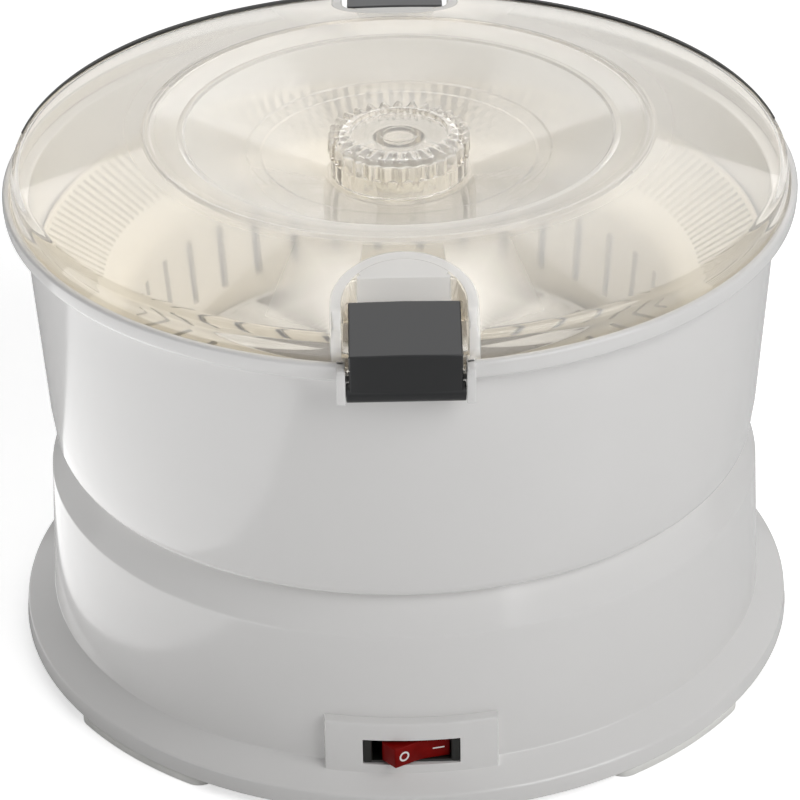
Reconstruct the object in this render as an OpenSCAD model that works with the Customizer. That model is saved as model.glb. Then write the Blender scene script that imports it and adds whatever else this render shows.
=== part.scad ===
// Electric potato peeler: a motor base, a lift-off bowl with a turning abrasive disc,
// a slotted drum, a clear lid and two clips that hold the lid down.
// Millimetres, +Z up, origin on the ground under the middle of the base.
// The switch looks along -Y; the cord outlet looks along +Y.

/* [Base] */
// Radius of the flange at its lowest edge
flange_r = 129.5; // [128.5:0.5:131]
// Height of the foot pads under the flange
foot_h = 3; // [2.5:0.5:4]
// Radius of the base wall just above the flange
base_wall_r = 119.2; // [118.5:0.1:120]
// Height of the deck on which the bowl rests
deck_z = 66; // [65:0.5:67]
// Wall thickness of the mouldings
wall = 2.5; // [2.2:0.1:2.8]

/* [Bowl] */
// Outer radius of the bowl's rim collar
rim_r = 127; // [126.5:0.1:127.5]
// Height of the rim above the ground
rim_z = 161.5; // [161:0.5:162]
// Radius of the foot ring that sits in the base
bowl_foot_r = 109.9; // [109:0.1:110]
// Number of slots around the drum's sloping collar
slot_count = 180; // [90:10:200]

/* [Lid] */
// Outer radius of the lid's skirt
skirt_r = 124.3; // [124:0.1:124.4]
// Height of the ring around the lid's dish
ring_z = 179.1; // [178.5:0.1:179.5]
// Radius of that ring
ring_r = 80.5; // [80:0.1:81]
// Thickness of the lid
lid_t = 2; // [1.8:0.1:2.2]
// Outer radius of the knob's ribbed crown
knob_r = 22.8; // [22:0.1:23.5]
// Number of ribs around the knob
knob_ribs = 28; // [20:1:32]

/* [Clips] */
// Width of a clip
clip_w = 33; // [32:0.5:33.5]
// Distance of a clip's pin from the middle
pin_r = 127.6; // [127.5:0.1:127.8]
// Height of a clip's pin
pin_z = 153.6; // [153.4:0.1:153.8]

/* [Drive] */
// Teeth on the motor's pinion
pinion_teeth = 16; // [16:1:16]
// Teeth on the drive gear
gear_teeth = 80; // [80:1:80]
// Module of both gears
gear_module = 1; // [1:0.1:1]
// Across-flats size of the drive head
hex_af = 12; // [11.5:0.1:12]
// Radius of the abrasive disc
disc_r = 82; // [80:0.5:82]

/* [Hidden] */
$fn = 96;

// Colours
WHITE = [0.90, 0.90, 0.90];
CREAM = [0.91, 0.87, 0.79];
CLEAR = [0.93, 0.92, 0.88, 0.35];
CHARCOAL = [0.17, 0.17, 0.18];
SWITCH_BLACK = [0.10, 0.11, 0.11];
SWITCH_RED = [0.62, 0.03, 0.03];
PAD_GREY = [0.62, 0.62, 0.59];
STEEL = [0.70, 0.71, 0.72];
DARK_STEEL = [0.38, 0.39, 0.41];
COPPER = [0.72, 0.42, 0.20];
BRASS = [0.78, 0.64, 0.36];
NYLON = [0.86, 0.85, 0.80];
GRIT = [0.55, 0.53, 0.50];

// Overlap that makes cuts run through their faces
eps = 1;
// Clearance between parts that lift out of each other
lift_gap = 0.5;
// Points on each rounded corner of a turned outline
bend_n = 6;

// Heights and radii of the base
flange_edge = [flange_r - 0.6, 8.7];
wall_foot = [base_wall_r + 0.3, 15];
shoulder_edge = [base_wall_r - 1.8, 60.3];
shoulder_z = deck_z + 6.4;
recess_r = bowl_foot_r + lift_gap;
deck_under_z = deck_z - wall;
cover_t = 2.4;
cover_z = foot_h + cover_t;
cover_r = 126.2;
pad_inner_r = 118;
pad_outer_r = 129.3;
pad_start = 33;
pad_sweep = 21.5;
screw_circle_r = 107.5;
screw_angles = [15, 105, 195, 285];
screw_boss_r = 5;
screw_hole_r = 1.55;
screw_shank_r = 1.5;
screw_head_r = 3;
screw_head_h = 1.6;
screw_len = 14;
lug_angles = [30, 150, 270];
lug_w = 12;
lug_h = 2.6;
lug_inner_r = 103.5;
lug_outer_r = 108.5;

// Switch pad, frame and rocker on the front of the base
pad_w = 55;
pad_low_z = foot_h + 8.5;
pad_high_z = 33.3;
pad_face_r = 122.3;
switch_z = 20.8;
switch_w = 30;
switch_h = 8.8;
frame_y = -121;
rocker_pivot_y = frame_y + 7.2;
rocker_h = 7;
rocker_tilt = 22;
rocker_slot_w = 24.6;
rocker_pin_r = 1.2;
rocker_pin_gap = 0.06;

// Cord outlet at the back of the base
gland_z = 24;
gland_boss_r = 11;
gland_face_y = 121.5;
gland_bore_r = 3.8;
gland_body_r = 6.2;
gland_back_y = 112;
gland_collar_t = 3;
gland_nut_t = 4.5;

// Drive train
centre_d = gear_module * (pinion_teeth + gear_teeth) / 2;
motor_x = -centre_d;
gear_z = 50.5;
gear_t = 7;
pressure_angle = 20;
gear_web_r = 34;
gear_hub_r = 9;
shaft_r = 4;
shaft_low_z = 9.2;
shaft_top_z = 97;
bush_gap = 0.05;
bearing_r = 6;
tower_r = 9.5;
tower_top_z = 78;
head_low_z = 80;
chimney_r = 11;
chimney_t = 2.2;
chimney_top_z = 95;
hub_top_z = 101;
stator_low_z = 20;
stator_t = 20;
stator_top_z = stator_low_z + stator_t;
rotor_r = 13;
air_gap = 0.5;
motor_shaft_r = 2.5;
stator_half_w = 24;
stator_back = 50;
stator_front = 18;
stator_waist = 4;
window_low = [-39, -14];
window_size = [15, 28];
bolt_hole_r = 1.6;
bearing_z = [[10.8, 15.4], [44.6, 49.4]];
motor_bush_r = 4.5;
bolt_y = 19.5;
mount_x = [12, -32];
mount_y = 20.2;

// Bowl and drum
ledge_z = 157.6;
rebate_r = skirt_r + 0.4;
floor_z = 71.5;
drum_collar_r = 116.6;
drum_collar_z = 138;
drum_throat_r = 88;
drum_throat_z = 121.5;
drum_foot_r = 85.2;
drum_foot_z = 74;
drum_t = 2;
slot_w = 1.5;
disc_z = 77;
disc_t = 3;
disc_bore_r = chimney_r + chimney_t + 0.7;
sheet_t = 0.8;
waves = 8;
hub_r = 16.2;
hub_flange_r = 24;
hub_socket_z = 84;
hub_screw_r = 19;
hub_screw_angles = [0, 120, 240];

// Clip ears on the bowl
ear_gap = 1.1;
ear_t = 2.6;
ear_in_x = clip_w / 2 + ear_gap;
ear_out_x = ear_in_x + ear_t;
pin_rad = 1.3;
knuckle_r = 2.9;

// Lid
skirt_low_z = ledge_z + 0.2;
lid_edge_r = 122.4;
lid_edge_z = 169.3;
inner_ring_r = 69.3;
inner_ring_z = 177.4;
dish_r = 44;
dish_z = 168.6;
well_r = 23.5;
well_z = 161.4;
pocket_half_w = 18.4;
pocket_centre_r = 110.7;
pocket_wall_r = 97.9;
pocket_floor_z = 164;
lip_w = 3;
lip_h = 2;
pocket_reach = 140;
knob_z = well_z + 0.2;
crown_z = 168.2;
knob_top_z = 176;
stem_r = 7.8;
stem_gap = 0.08;

// Points of a rounded corner that starts at a, turns at b and ends at c
function bend(a, b, c, n = bend_n) =
    [for (i = [0:n]) let (t = i / n) (1 - t) * (1 - t) * a + 2 * t * (1 - t) * b + t * t * c];

module ring(r_out, r_in, z0, z1) {
    translate([0, 0, z0])
        linear_extrude(z1 - z0)
            difference() {
                circle(r_out);
                circle(r_in);
            }
}

module turned(points) {
    rotate_extrude() polygon(points);
}

// A block given by its two opposite corners
module block(low, high) {
    translate(low) cube(high - low);
}

module at_clips() {
    for (a = [0, 180]) rotate([0, 0, a]) children();
}

// ---------- gears ----------

// Involute of an angle, in degrees
function involute(a) = tan(a) * 180 / PI - a;

// Half the angle that a tooth of n teeth takes at radius r
function tooth_half(n, r, base_r, play) =
    let (pitch_r = gear_module * n / 2, at_r = acos(min(1, base_r / r)))
    90 / n - play / pitch_r * 90 / PI + involute(pressure_angle) - involute(at_r);

// One tooth's outline, centred on angle mid
function tooth(n, mid, tip_r, base_r, root_r, play) =
    let (start_r = max(base_r, root_r), steps = 5)
    concat(
        [root_r * [cos(mid - tooth_half(n, start_r, base_r, play)),
                   sin(mid - tooth_half(n, start_r, base_r, play))]],
        [for (i = [0:steps])
            let (r = start_r + (tip_r - start_r) * i / steps,
                 h = tooth_half(n, r, base_r, play))
            r * [cos(mid - h), sin(mid - h)]],
        [for (i = [steps:-1:0])
            let (r = start_r + (tip_r - start_r) * i / steps,
                 h = tooth_half(n, r, base_r, play))
            r * [cos(mid + h), sin(mid + h)]],
        [root_r * [cos(mid + tooth_half(n, start_r, base_r, play)),
                   sin(mid + tooth_half(n, start_r, base_r, play))]]
    );

module spur_outline(n, addendum, first, play = 0.12) {
    pitch_r = gear_module * n / 2;
    base_r = pitch_r * cos(pressure_angle);
    root_r = pitch_r - 1.3 * gear_module;
    polygon([for (k = [0:n - 1])
        each tooth(n, first + k * 360 / n, pitch_r + addendum, base_r, root_r, play)]);
}

// ---------- base ----------

// Side of the base, drawn inset by t from its outer face: the edge of the flange, the foot of
// the wall and the edge of the shoulder
function base_side(t) = concat(
    bend(flange_edge + [0.05 - t, -0.9 - t * 0.4], flange_edge + [-t, -t * 0.53],
         flange_edge + [-0.9 - t * 0.8, 0.6 - t * 0.67]),
    bend(wall_foot + [0.9 - t * 0.8, -0.6 - t * 0.67], wall_foot + [-t, -t * 0.53],
         wall_foot + [-0.05 - t, 1]),
    bend(shoulder_edge + [0.07 - t, -1.4], shoulder_edge + [-t, -t * 0.24],
         shoulder_edge + [-0.65 - t * 0.9, 1.26 - t * 0.4])
);

module base_shell() {
    outer = concat(
        base_side(0),
        bend([recess_r + 1.9, shoulder_z - 2.2], [recess_r + 0.8, shoulder_z - 0.1],
             [recess_r + 0.5, shoulder_z - 0.2])
    );
    inner = base_side(wall);
    turned(concat(
        [[126.6, foot_h], [flange_r, foot_h]],
        outer,
        [[recess_r, shoulder_z - 0.9], [recess_r, deck_z], [recess_r - 3, deck_z],
         [recess_r - 3, deck_under_z]],
        [for (i = [len(inner) - 1:-1:0]) inner[i]],
        [[126.6, cover_z + 0.6]]
    ));
}

module switch_pad() {
    intersection() {
        ring(pad_face_r, base_wall_r - wall - 1, pad_low_z, pad_high_z);
        block([-pad_w / 2, -pad_face_r - eps, 0], [pad_w / 2, -90, deck_z]);
    }
}

module base_housing() {
    color(WHITE)
    difference() {
        union() {
            base_shell();
            ring(recess_r - 1, tower_r - 1, deck_under_z, deck_z);
            ring(tower_r, bearing_r, gear_z + gear_t + 1.3, tower_top_z);
            ring(tower_r + 3, tower_r - 1, deck_z - eps, deck_z + 0.6);
            switch_pad();
            // Flat boss for the cord gland
            translate([0, gland_back_y, gland_z])
                rotate([-90, 0, 0])
                    cylinder(h = gland_face_y - gland_back_y, r = gland_boss_r);
            for (a = screw_angles)
                rotate([0, 0, a])
                    translate([screw_circle_r, 0, cover_z])
                        cylinder(h = deck_under_z + eps - cover_z, r = screw_boss_r);
            for (a = lug_angles)
                rotate([0, 0, a])
                    block([lug_inner_r, -lug_w / 2, deck_z - eps],
                          [lug_outer_r, lug_w / 2, deck_z + lug_h]);
            // Stiffening ribs under the deck
            for (a = [45:90:315])
                rotate([0, 0, a])
                    block([52, -1, deck_under_z - 8], [screw_circle_r + 5, 1, deck_z - eps]);
        }
        block([-switch_w / 2 - 0.2, -pad_face_r - eps, switch_z - switch_h / 2 - 0.2],
              [switch_w / 2 + 0.2, -110, switch_z + switch_h / 2 + 0.2]);
        translate([0, 100, gland_z])
            rotate([-90, 0, 0])
                cylinder(h = 30, r = gland_body_r + 0.05);
        for (a = screw_angles)
            rotate([0, 0, a])
                translate([screw_circle_r, 0, cover_z - eps])
                    cylinder(h = screw_len + 3, r = screw_hole_r);
    }
}

module base_cover() {
    vent_rows = 5;
    vent_pitch = 7;
    vent_w = 3;
    vent_len = 48;
    post_row = 3;
    post_r = 4;
    color(WHITE)
    difference() {
        union() {
            translate([0, 0, foot_h]) cylinder(h = cover_t, r = cover_r);
            // Seat for the lower bush of the drive shaft
            ring(9, bearing_r, cover_z - eps, 22);
            // Posts for the motor
            for (x = mount_x, y = [-mount_y, mount_y])
                translate([motor_x + x, y, cover_z - eps])
                    cylinder(h = stator_low_z - cover_z + eps, r = post_r);
            ring(118, 116, cover_z - eps, cover_z + 2);
        }
        // Cooling vents on both sides, but for the rows where the posts stand
        for (side = [-1, 1], row = [-vent_rows:vent_rows])
            translate([side * centre_d - vent_len / 2, row * vent_pitch - vent_w / 2, foot_h - eps])
                if (abs(row) != post_row)
                    cube([vent_len - abs(row) * 2, vent_w, cover_t + 2 * eps]);
        for (a = screw_angles)
            rotate([0, 0, a])
                translate([screw_circle_r, 0, foot_h - eps])
                    cylinder(h = cover_t + 2 * eps, r = screw_shank_r + 0.25);
        for (x = mount_x, y = [-mount_y, mount_y])
            translate([motor_x + x, y, cover_z + 2])
                cylinder(h = stator_low_z, r = screw_hole_r);
    }
}

// A pan-head screw that points up, its head under z = 0
module pan_screw(shank_r, length, head_r, head_h) {
    difference() {
        union() {
            translate([0, 0, -head_h]) cylinder(h = head_h, r = head_r);
            translate([0, 0, -0.01]) cylinder(h = length, r = shank_r);
        }
        for (a = [0, 90])
            rotate([0, 0, a])
                block([-head_r * 0.55, -0.4, -head_h - eps], [head_r * 0.55, 0.4, -head_h / 2]);
    }
}

module cover_screws() {
    color(STEEL)
        for (a = screw_angles)
            rotate([0, 0, a])
                translate([screw_circle_r, 0, foot_h])
                    pan_screw(screw_shank_r, screw_len, screw_head_r, screw_head_h);
}

// Curved pads with rounded ends, two on each side of the base
module foot_pads() {
    mid_r = (pad_inner_r + pad_outer_r) / 2;
    end_r = (pad_outer_r - pad_inner_r) / 2 + 0.9;
    reach = 2 * pad_outer_r;
    color(PAD_GREY)
        for (a = [270 + pad_start, 270 - pad_start - pad_sweep, 90 + pad_start,
                  90 - pad_start - pad_sweep])
            rotate([0, 0, a])
                linear_extrude(foot_h)
                    intersection() {
                        difference() {
                            circle(pad_outer_r);
                            circle(pad_inner_r);
                        }
                        union() {
                            polygon([[0, 0], [reach, 0],
                                     reach * [cos(pad_sweep), sin(pad_sweep)]]);
                            for (e = [0, pad_sweep])
                                rotate(e) translate([mid_r, 0]) circle(end_r);
                        }
                    }
}

// ---------- switch ----------

module switch_body() {
    color(SWITCH_BLACK)
    difference() {
        union() {
            block([-switch_w / 2, frame_y, switch_z - switch_h / 2],
                  [switch_w / 2, frame_y + 1.6, switch_z + switch_h / 2]);
            block([-14.2, frame_y + 0.8, switch_z - switch_h / 2],
                  [14.2, frame_y + 15, switch_z + switch_h / 2]);
            // Snap wings that hold the switch behind the wall
            for (s = [-1, 1])
                block([s * 14.7 - 0.9, frame_y + 7, switch_z - 3],
                      [s * 14.7 + 0.9, frame_y + 12, switch_z + 3]);
        }
        block([-rocker_slot_w / 2, frame_y - eps, switch_z - rocker_h / 2 - 0.25],
              [rocker_slot_w / 2, frame_y + 11.5, switch_z + rocker_h / 2 + 0.25]);
        translate([0, rocker_pivot_y, switch_z - switch_h / 2 - eps])
            cylinder(h = switch_h + 2 * eps, r = rocker_pin_r + rocker_pin_gap);
    }
}

module switch_terminals() {
    color(BRASS)
        for (x = [-8, 0, 8])
            difference() {
                block([x - 2.4, frame_y + 15, switch_z - 0.4],
                      [x + 2.4, frame_y + 22, switch_z + 0.4]);
                translate([x, frame_y + 19.5, switch_z - eps])
                    cylinder(h = 2 * eps, r = 0.9);
            }
}

module switch_rocker() {
    end_x = 9.2;
    side_x = 11.3;
    back_x = 5;
    back_y = 2.2;
    crown = 9.2;
    dip = 7.8;
    pin_out = 0.8;
    color(SWITCH_RED)
    translate([0, rocker_pivot_y, switch_z])
        rotate([0, 0, rocker_tilt])
        {
            translate([0, 0, -rocker_h / 2])
                linear_extrude(rocker_h)
                    polygon([[-end_x, -crown], [0, -dip], [end_x, -crown], [side_x, -3],
                             [back_x, back_y], [-back_x, back_y], [-side_x, -3]]);
            translate([0, 0, -rocker_h / 2 - pin_out])
                cylinder(h = rocker_h + 2 * pin_out, r = rocker_pin_r);
        }
}

// ---------- cord outlet and wiring ----------

module cord_gland() {
    gland_len = 16;
    color(SWITCH_BLACK)
        translate([0, gland_face_y, gland_z])
            rotate([-90, 0, 0])
                difference() {
                    union() {
                        cylinder(h = gland_collar_t, r = 9);
                        translate([0, 0, gland_collar_t - 0.01])
                            cylinder(h = gland_collar_t, r1 = 8, r2 = 6.4);
                        translate([0, 0, -gland_len]) cylinder(h = gland_len + 0.5, r = gland_body_r);
                    }
                    translate([0, 0, -gland_len - eps]) cylinder(h = 30, r = gland_bore_r);
                }
}

module gland_nut() {
    color(NYLON)
        translate([0, gland_back_y, gland_z])
            rotate([90, 0, 0])
                difference() {
                    cylinder(h = gland_nut_t, r = 9.4, $fn = 6);
                    translate([0, 0, -eps])
                        cylinder(h = gland_nut_t + 2 * eps, r = gland_body_r + 0.05);
                }
}

module terminal_block() {
    color(NYLON)
    difference() {
        block([18, 78, cover_z], [48, 92, cover_z + 12]);
        for (x = [24, 33, 42]) {
            translate([x, 85, cover_z + 5]) cylinder(h = 12, r = 2.2);
            translate([x, 70, cover_z + 5])
                rotate([-90, 0, 0]) cylinder(h = 30, r = 1.6);
        }
    }
}

// Insulated leads that run round the inside of the wall
module supply_leads() {
    lead_r = 1.1;
    color(COPPER)
        for (k = [0, 1]) {
            z = cover_z + 5 + k * 4;
            translate([0, 0, z])
                rotate([0, 0, -80 + k])
                    rotate_extrude(angle = 130 + k)
                        translate([98 - k * 4, 0]) circle(lead_r);
        }
}

// ---------- motor ----------

module stator_outline() {
    difference() {
        union() {
            translate([-stator_back, -stator_half_w])
                square([stator_back + stator_waist, 2 * stator_half_w]);
            translate([stator_waist - 0.5, -stator_half_w + 3])
                square([stator_front - stator_waist + 0.5, 2 * stator_half_w - 6]);
        }
        circle(rotor_r + air_gap);
        translate(window_low) square(window_size);
        for (s = [-1, 1])
            translate([0, s * bolt_y]) circle(bolt_hole_r);
        for (x = mount_x, s = [-1, 1])
            translate([x, s * mount_y]) circle(1.8);
        // Slots for the shading rings
        for (s = [-1, 1])
            translate([-9, s * 14.5 - 0.9]) square([6, 1.8]);
    }
}

module motor_stator() {
    layers = 10;
    color(DARK_STEEL)
        translate([motor_x, 0, stator_low_z]) {
            linear_extrude(stator_t) stator_outline();
            // A raised edge every few laminations
            for (k = [0:layers - 1])
                translate([-stator_back - 0.25, -stator_half_w + 1, k * stator_t / layers + 0.5])
                    cube([0.5, 2 * stator_half_w - 2, stator_t / layers - 1]);
        }
}

module motor_coil() {
    color(COPPER)
    translate([motor_x - 44.6, 0, stator_low_z + stator_t / 2])
        rotate([90, 0, 0])
            difference() {
                union() {
                    translate([0, 0, -13]) linear_extrude(26) square([19, 40], center = true);
                    for (z = [-13.8, 12.3])
                        translate([0, 0, z]) linear_extrude(1.5) square([20.4, 43], center = true);
                }
                linear_extrude(60, center = true)
                    square([12, stator_t + 0.6], center = true);
            }
}

module motor_bracket(z_post, z_plate, z_hub) {
    flip = z_plate > stator_low_z ? 1 : -1;
    difference() {
        union() {
            for (s = [-1, 1])
                translate([motor_x, s * bolt_y, min(z_post, z_plate)])
                    cylinder(h = abs(z_plate - z_post), r = 3.4);
            block([motor_x - 7, -stator_half_w, min(z_plate, z_plate + flip * 2)],
                  [motor_x + 7, stator_half_w, max(z_plate, z_plate + flip * 2)]);
            translate([motor_x, 0, min(z_plate, z_hub)])
                cylinder(h = abs(z_hub - z_plate), r = 6.4);
        }
        translate([motor_x, 0, 0]) cylinder(h = deck_z, r = motor_bush_r + bush_gap);
        for (s = [-1, 1])
            translate([motor_x, s * bolt_y, 0]) cylinder(h = deck_z, r = bolt_hole_r);
    }
}

module motor_bracket_upper() {
    color(STEEL) motor_bracket(stator_top_z, bearing_z[1][0], bearing_z[1][1]);
}

module motor_bracket_lower() {
    color(STEEL) motor_bracket(stator_low_z, bearing_z[0][1], bearing_z[0][0]);
}

module motor_bushes() {
    color(BRASS)
        for (z = bearing_z)
            translate([motor_x, 0, 0])
                ring(motor_bush_r, motor_shaft_r + bush_gap, z[0], z[1]);
}

module motor_bolts() {
    color(STEEL)
        for (s = [-1, 1])
            translate([motor_x, s * bolt_y, 13.4]) {
                pan_screw(screw_shank_r, 35.5, screw_head_r - 0.2, screw_head_h);
                translate([0, 0, 33.3])
                    difference() {
                        cylinder(h = 2, r = 3.1, $fn = 6);
                        translate([0, 0, -eps]) cylinder(h = 4, r = 1.55);
                    }
            }
}

module motor_screws() {
    color(STEEL)
        for (x = mount_x, y = [-mount_y, mount_y])
            translate([motor_x + x, y, stator_top_z])
                rotate([180, 0, 0])
                    pan_screw(screw_shank_r, 30, screw_head_r - 0.1, screw_head_h);
}

module rotor_core() {
    slots = 14;
    color(DARK_STEEL)
        translate([motor_x, 0, 0]) {
            difference() {
                ring(rotor_r, motor_shaft_r, stator_low_z, stator_top_z);
                for (k = [0:slots - 1])
                    rotate([0, 0, k * 360 / slots])
                        block([rotor_r - 0.8, -0.5, stator_low_z - eps],
                              [rotor_r + 1, 0.5, stator_top_z + eps]);
            }
            for (z = [[stator_low_z - 3, stator_low_z], [stator_top_z, stator_top_z + 3]])
                ring(rotor_r - 1, rotor_r - 4, z[0], z[1]);
        }
}

module motor_shaft() {
    color(STEEL)
        translate([motor_x, 0, 7.2]) cylinder(h = 51, r = motor_shaft_r);
}

module motor_pinion() {
    color(BRASS)
        translate([motor_x, 0, gear_z - 0.3])
            linear_extrude(gear_t + 0.6)
                difference() {
                    spur_outline(pinion_teeth, 0.9, 180 / pinion_teeth);
                    circle(motor_shaft_r);
                }
}

module cooling_fan() {
    blades = 9;
    fan_low = 7.4;
    hub_wall_r = 4.2;
    rim_mid_r = 15.3;
    color(NYLON)
        translate([motor_x, 0, 0]) {
            ring(5, motor_shaft_r, fan_low, fan_low + 3);
            for (k = [0:blades - 1])
                rotate([0, 0, k * 360 / blades])
                    block([hub_wall_r, -0.6, fan_low + 0.3], [rim_mid_r, 0.6, fan_low + 2.3]);
            ring(rim_mid_r + 0.7, rim_mid_r - 0.7, fan_low, fan_low + 2.6);
        }
}

// ---------- drive shaft ----------

module shaft_bush_upper() {
    color(BRASS) ring(bearing_r, shaft_r + bush_gap, 60, tower_top_z - 1);
}

module shaft_bush_lower() {
    color(BRASS)
    difference() {
        ring(bearing_r, 0.01, cover_z, 21.8);
        translate([0, 0, shaft_low_z - 0.7]) cylinder(h = 20, r = shaft_r + bush_gap);
    }
}

module thrust_washer() {
    color(NYLON) ring(7.5, shaft_r + 0.1, gear_z + gear_t + 0.3, gear_z + gear_t + 1.1);
}

module drive_gear() {
    holes = 6;
    color(NYLON)
    union() {
        translate([0, 0, gear_z])
            linear_extrude(gear_t)
                difference() {
                    spur_outline(gear_teeth, 0.85, 0);
                    circle(gear_web_r);
                }
        translate([0, 0, gear_z + 2])
            linear_extrude(3)
                difference() {
                    circle(gear_web_r + 0.5);
                    circle(shaft_r);
                    for (k = [0:holes - 1])
                        rotate(k * 360 / holes) translate([22, 0]) circle(7);
                }
        ring(gear_hub_r, shaft_r, gear_z - 2, gear_z + gear_t);
    }
}

module drive_shaft() {
    color(STEEL)
    difference() {
        translate([0, 0, shaft_low_z]) cylinder(h = shaft_top_z - shaft_low_z, r = shaft_r);
        ring(shaft_r + 1, shaft_r - 0.5, gear_z - 3.2, gear_z - 2.2);
    }
}

module hex_prism(af, z0, z1) {
    translate([0, 0, z0]) cylinder(h = z1 - z0, r = af / sqrt(3), $fn = 6);
}

module drive_head() {
    color(STEEL)
    difference() {
        hex_prism(hex_af, head_low_z, shaft_top_z);
        translate([0, 0, head_low_z - eps]) cylinder(h = 40, r = shaft_r);
    }
}

module shaft_circlip() {
    color(DARK_STEEL)
    difference() {
        ring(6, shaft_r - 0.5, gear_z - 3.1, gear_z - 2.3);
        block([0, -2, 0], [10, 2, deck_z]);
    }
}

// ---------- bowl ----------

// Outside of the bowl from the foot ring to the top of the rim
function bowl_side() = concat(
    [[bowl_foot_r, deck_z], [bowl_foot_r, shoulder_z + 0.1]],
    bend([111.4, 73.0], [114.7, 73.2], [115.4, 77]),
    [[116.6, 86.6], [118.1, 110], [119.4, 130], [120.6, 150]],
    bend([120.8, 152], [121.2, 155.2], [124.6, 155.4]),
    bend([125.4, 155.5], [126.6, 155.7], [rim_r - 0.2, 157]),
    bend([rim_r, 160.4], [rim_r, rim_z], [rim_r - 1, rim_z])
);

// Inside of the bowl from the top of the rim to the floor
function bowl_inside() = concat(
    [[rebate_r + 0.3, rim_z], [rebate_r, rim_z - 0.3], [rebate_r, ledge_z],
     [118.6, ledge_z], [118.2, 150], [117.1, 130]],
    [[115.9, 110], [114.6, 90]],
    bend([113.8, 82], [112.6, floor_z + 1], [104, floor_z])
);

module clip_ears() {
    for (s = [-1, 1])
        block([s > 0 ? ear_in_x : -ear_out_x, -pin_r - 3.2, pin_z - 3.4],
              [s > 0 ? ear_out_x : -ear_in_x, -119.5, rim_z]);
}

module bowl() {
    color(WHITE)
    difference() {
        union() {
            turned(concat(
                bowl_side(), bowl_inside(),
                [[chimney_r + chimney_t, floor_z], [chimney_r, floor_z],
                 [chimney_r, floor_z - wall], [107.4, floor_z - wall], [107.4, deck_z]]
            ));
            ring(chimney_r + chimney_t, chimney_r, floor_z - wall - 2, chimney_top_z);
            at_clips() clip_ears();
        }
        translate([0, 0, ledge_z]) cylinder(h = 10, r = rebate_r);
        at_clips() {
            // Room for the clip's knuckle and plate
            block([-ear_in_x, -rim_r - 10, pin_z - 3.6], [ear_in_x, -rebate_r, rim_z + eps]);
            translate([-ear_in_x, -pin_r, pin_z])
                rotate([0, 90, 0]) cylinder(h = 2 * ear_in_x, r = knuckle_r + 0.5);
            translate([-ear_out_x - eps, -pin_r, pin_z])
                rotate([0, 90, 0]) cylinder(h = 2 * ear_out_x + 2 * eps, r = pin_rad + 0.02);
        }
        for (a = lug_angles)
            rotate([0, 0, a])
                block([lug_inner_r - 2, -lug_w / 2 - lift_gap, deck_z - eps],
                      [lug_outer_r + 3, lug_w / 2 + lift_gap, floor_z - wall]);
    }
}

// Slotted drum that hangs in the bowl and keeps the potatoes over the disc
module peel_drum() {
    drum_slots = 36;
    wall_slot_w = 3;
    collar_angle = 30;
    collar_slot_len = 21.8;
    color(CREAM)
    difference() {
        turned(concat(
            [[drum_foot_r + drum_t, drum_foot_z]],
            bend([drum_throat_r + drum_t, drum_throat_z - 7],
                 [drum_throat_r + drum_t + 0.6, drum_throat_z - 1.6],
                 [drum_throat_r + 9, drum_throat_z + 2.6]),
            [[drum_collar_r - 1, drum_collar_z - 3.2], [drum_collar_r, drum_collar_z - 2.2],
             [drum_collar_r, drum_collar_z], [drum_collar_r - 1.4, drum_collar_z]],
            bend([drum_throat_r + 6, drum_throat_z + 3.2],
                 [drum_throat_r, drum_throat_z], [drum_throat_r, drum_throat_z - 7]),
            [[drum_foot_r, drum_foot_z]]
        ));
        // Slots in the sloping collar
        for (k = [0:slot_count - 1])
            rotate([0, 0, k * 360 / slot_count])
                translate([drum_throat_r + 8, 0, drum_throat_z + 3.8])
                    rotate([0, -collar_angle, 0])
                        block([0, -slot_w / 2, -5], [collar_slot_len, slot_w / 2, 5]);
        // Upright slots in the drum's wall
        for (k = [0:drum_slots - 1])
            rotate([0, 0, k * 360 / drum_slots])
                block([80, -wall_slot_w / 2, drum_foot_z + 12], [95, wall_slot_w / 2, drum_throat_z - 12]);
    }
}

module clip_pins() {
    color(STEEL)
        at_clips()
            translate([-ear_out_x, -pin_r, pin_z])
                rotate([0, 90, 0]) cylinder(h = 2 * ear_out_x, r = pin_rad);
}

// ---------- abrasive disc ----------

module peeling_disc() {
    color(WHITE)
    difference() {
        union() {
            ring(disc_r, disc_bore_r, disc_z, disc_z + disc_t);
            ring(hub_flange_r, disc_bore_r, disc_z - 1, disc_z + disc_t + 2);
            // Low ramps that toss the potatoes
            for (k = [0:waves - 1])
                rotate([0, 0, k * 360 / waves])
                    translate([30, 0, disc_z + disc_t])
                        rotate([0, 90, 0])
                            linear_extrude(disc_r - 34)
                                polygon([[0.5, -7], [0.5, 7], [-0.8, 5.4], [-3.4, 1.5],
                                         [-3.4, -1.5], [-0.8, -5.4]]);
        }
        for (a = hub_screw_angles)
            rotate([0, 0, a])
                translate([hub_screw_r, 0, 60]) cylinder(h = 40, r = bolt_hole_r);
    }
}

// Thin grit-coated sectors between the ramps
module abrasive_sheet() {
    color(GRIT)
        for (k = [0:waves - 1])
            rotate([0, 0, k * 360 / waves])
                difference() {
                    intersection() {
                        ring(disc_r - 2, 26, disc_z + disc_t, disc_z + disc_t + sheet_t);
                        block([0, 0, 0], [disc_r, disc_r, 200]);
                        rotate([0, 0, -45]) block([0, 0, 0], [disc_r, disc_r, 200]);
                    }
                    block([0, -10, 0], [100, 7.6, 200]);
                    rotate([0, 0, 45]) block([0, -7.6, 0], [100, 10, 200]);
                }
}

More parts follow.
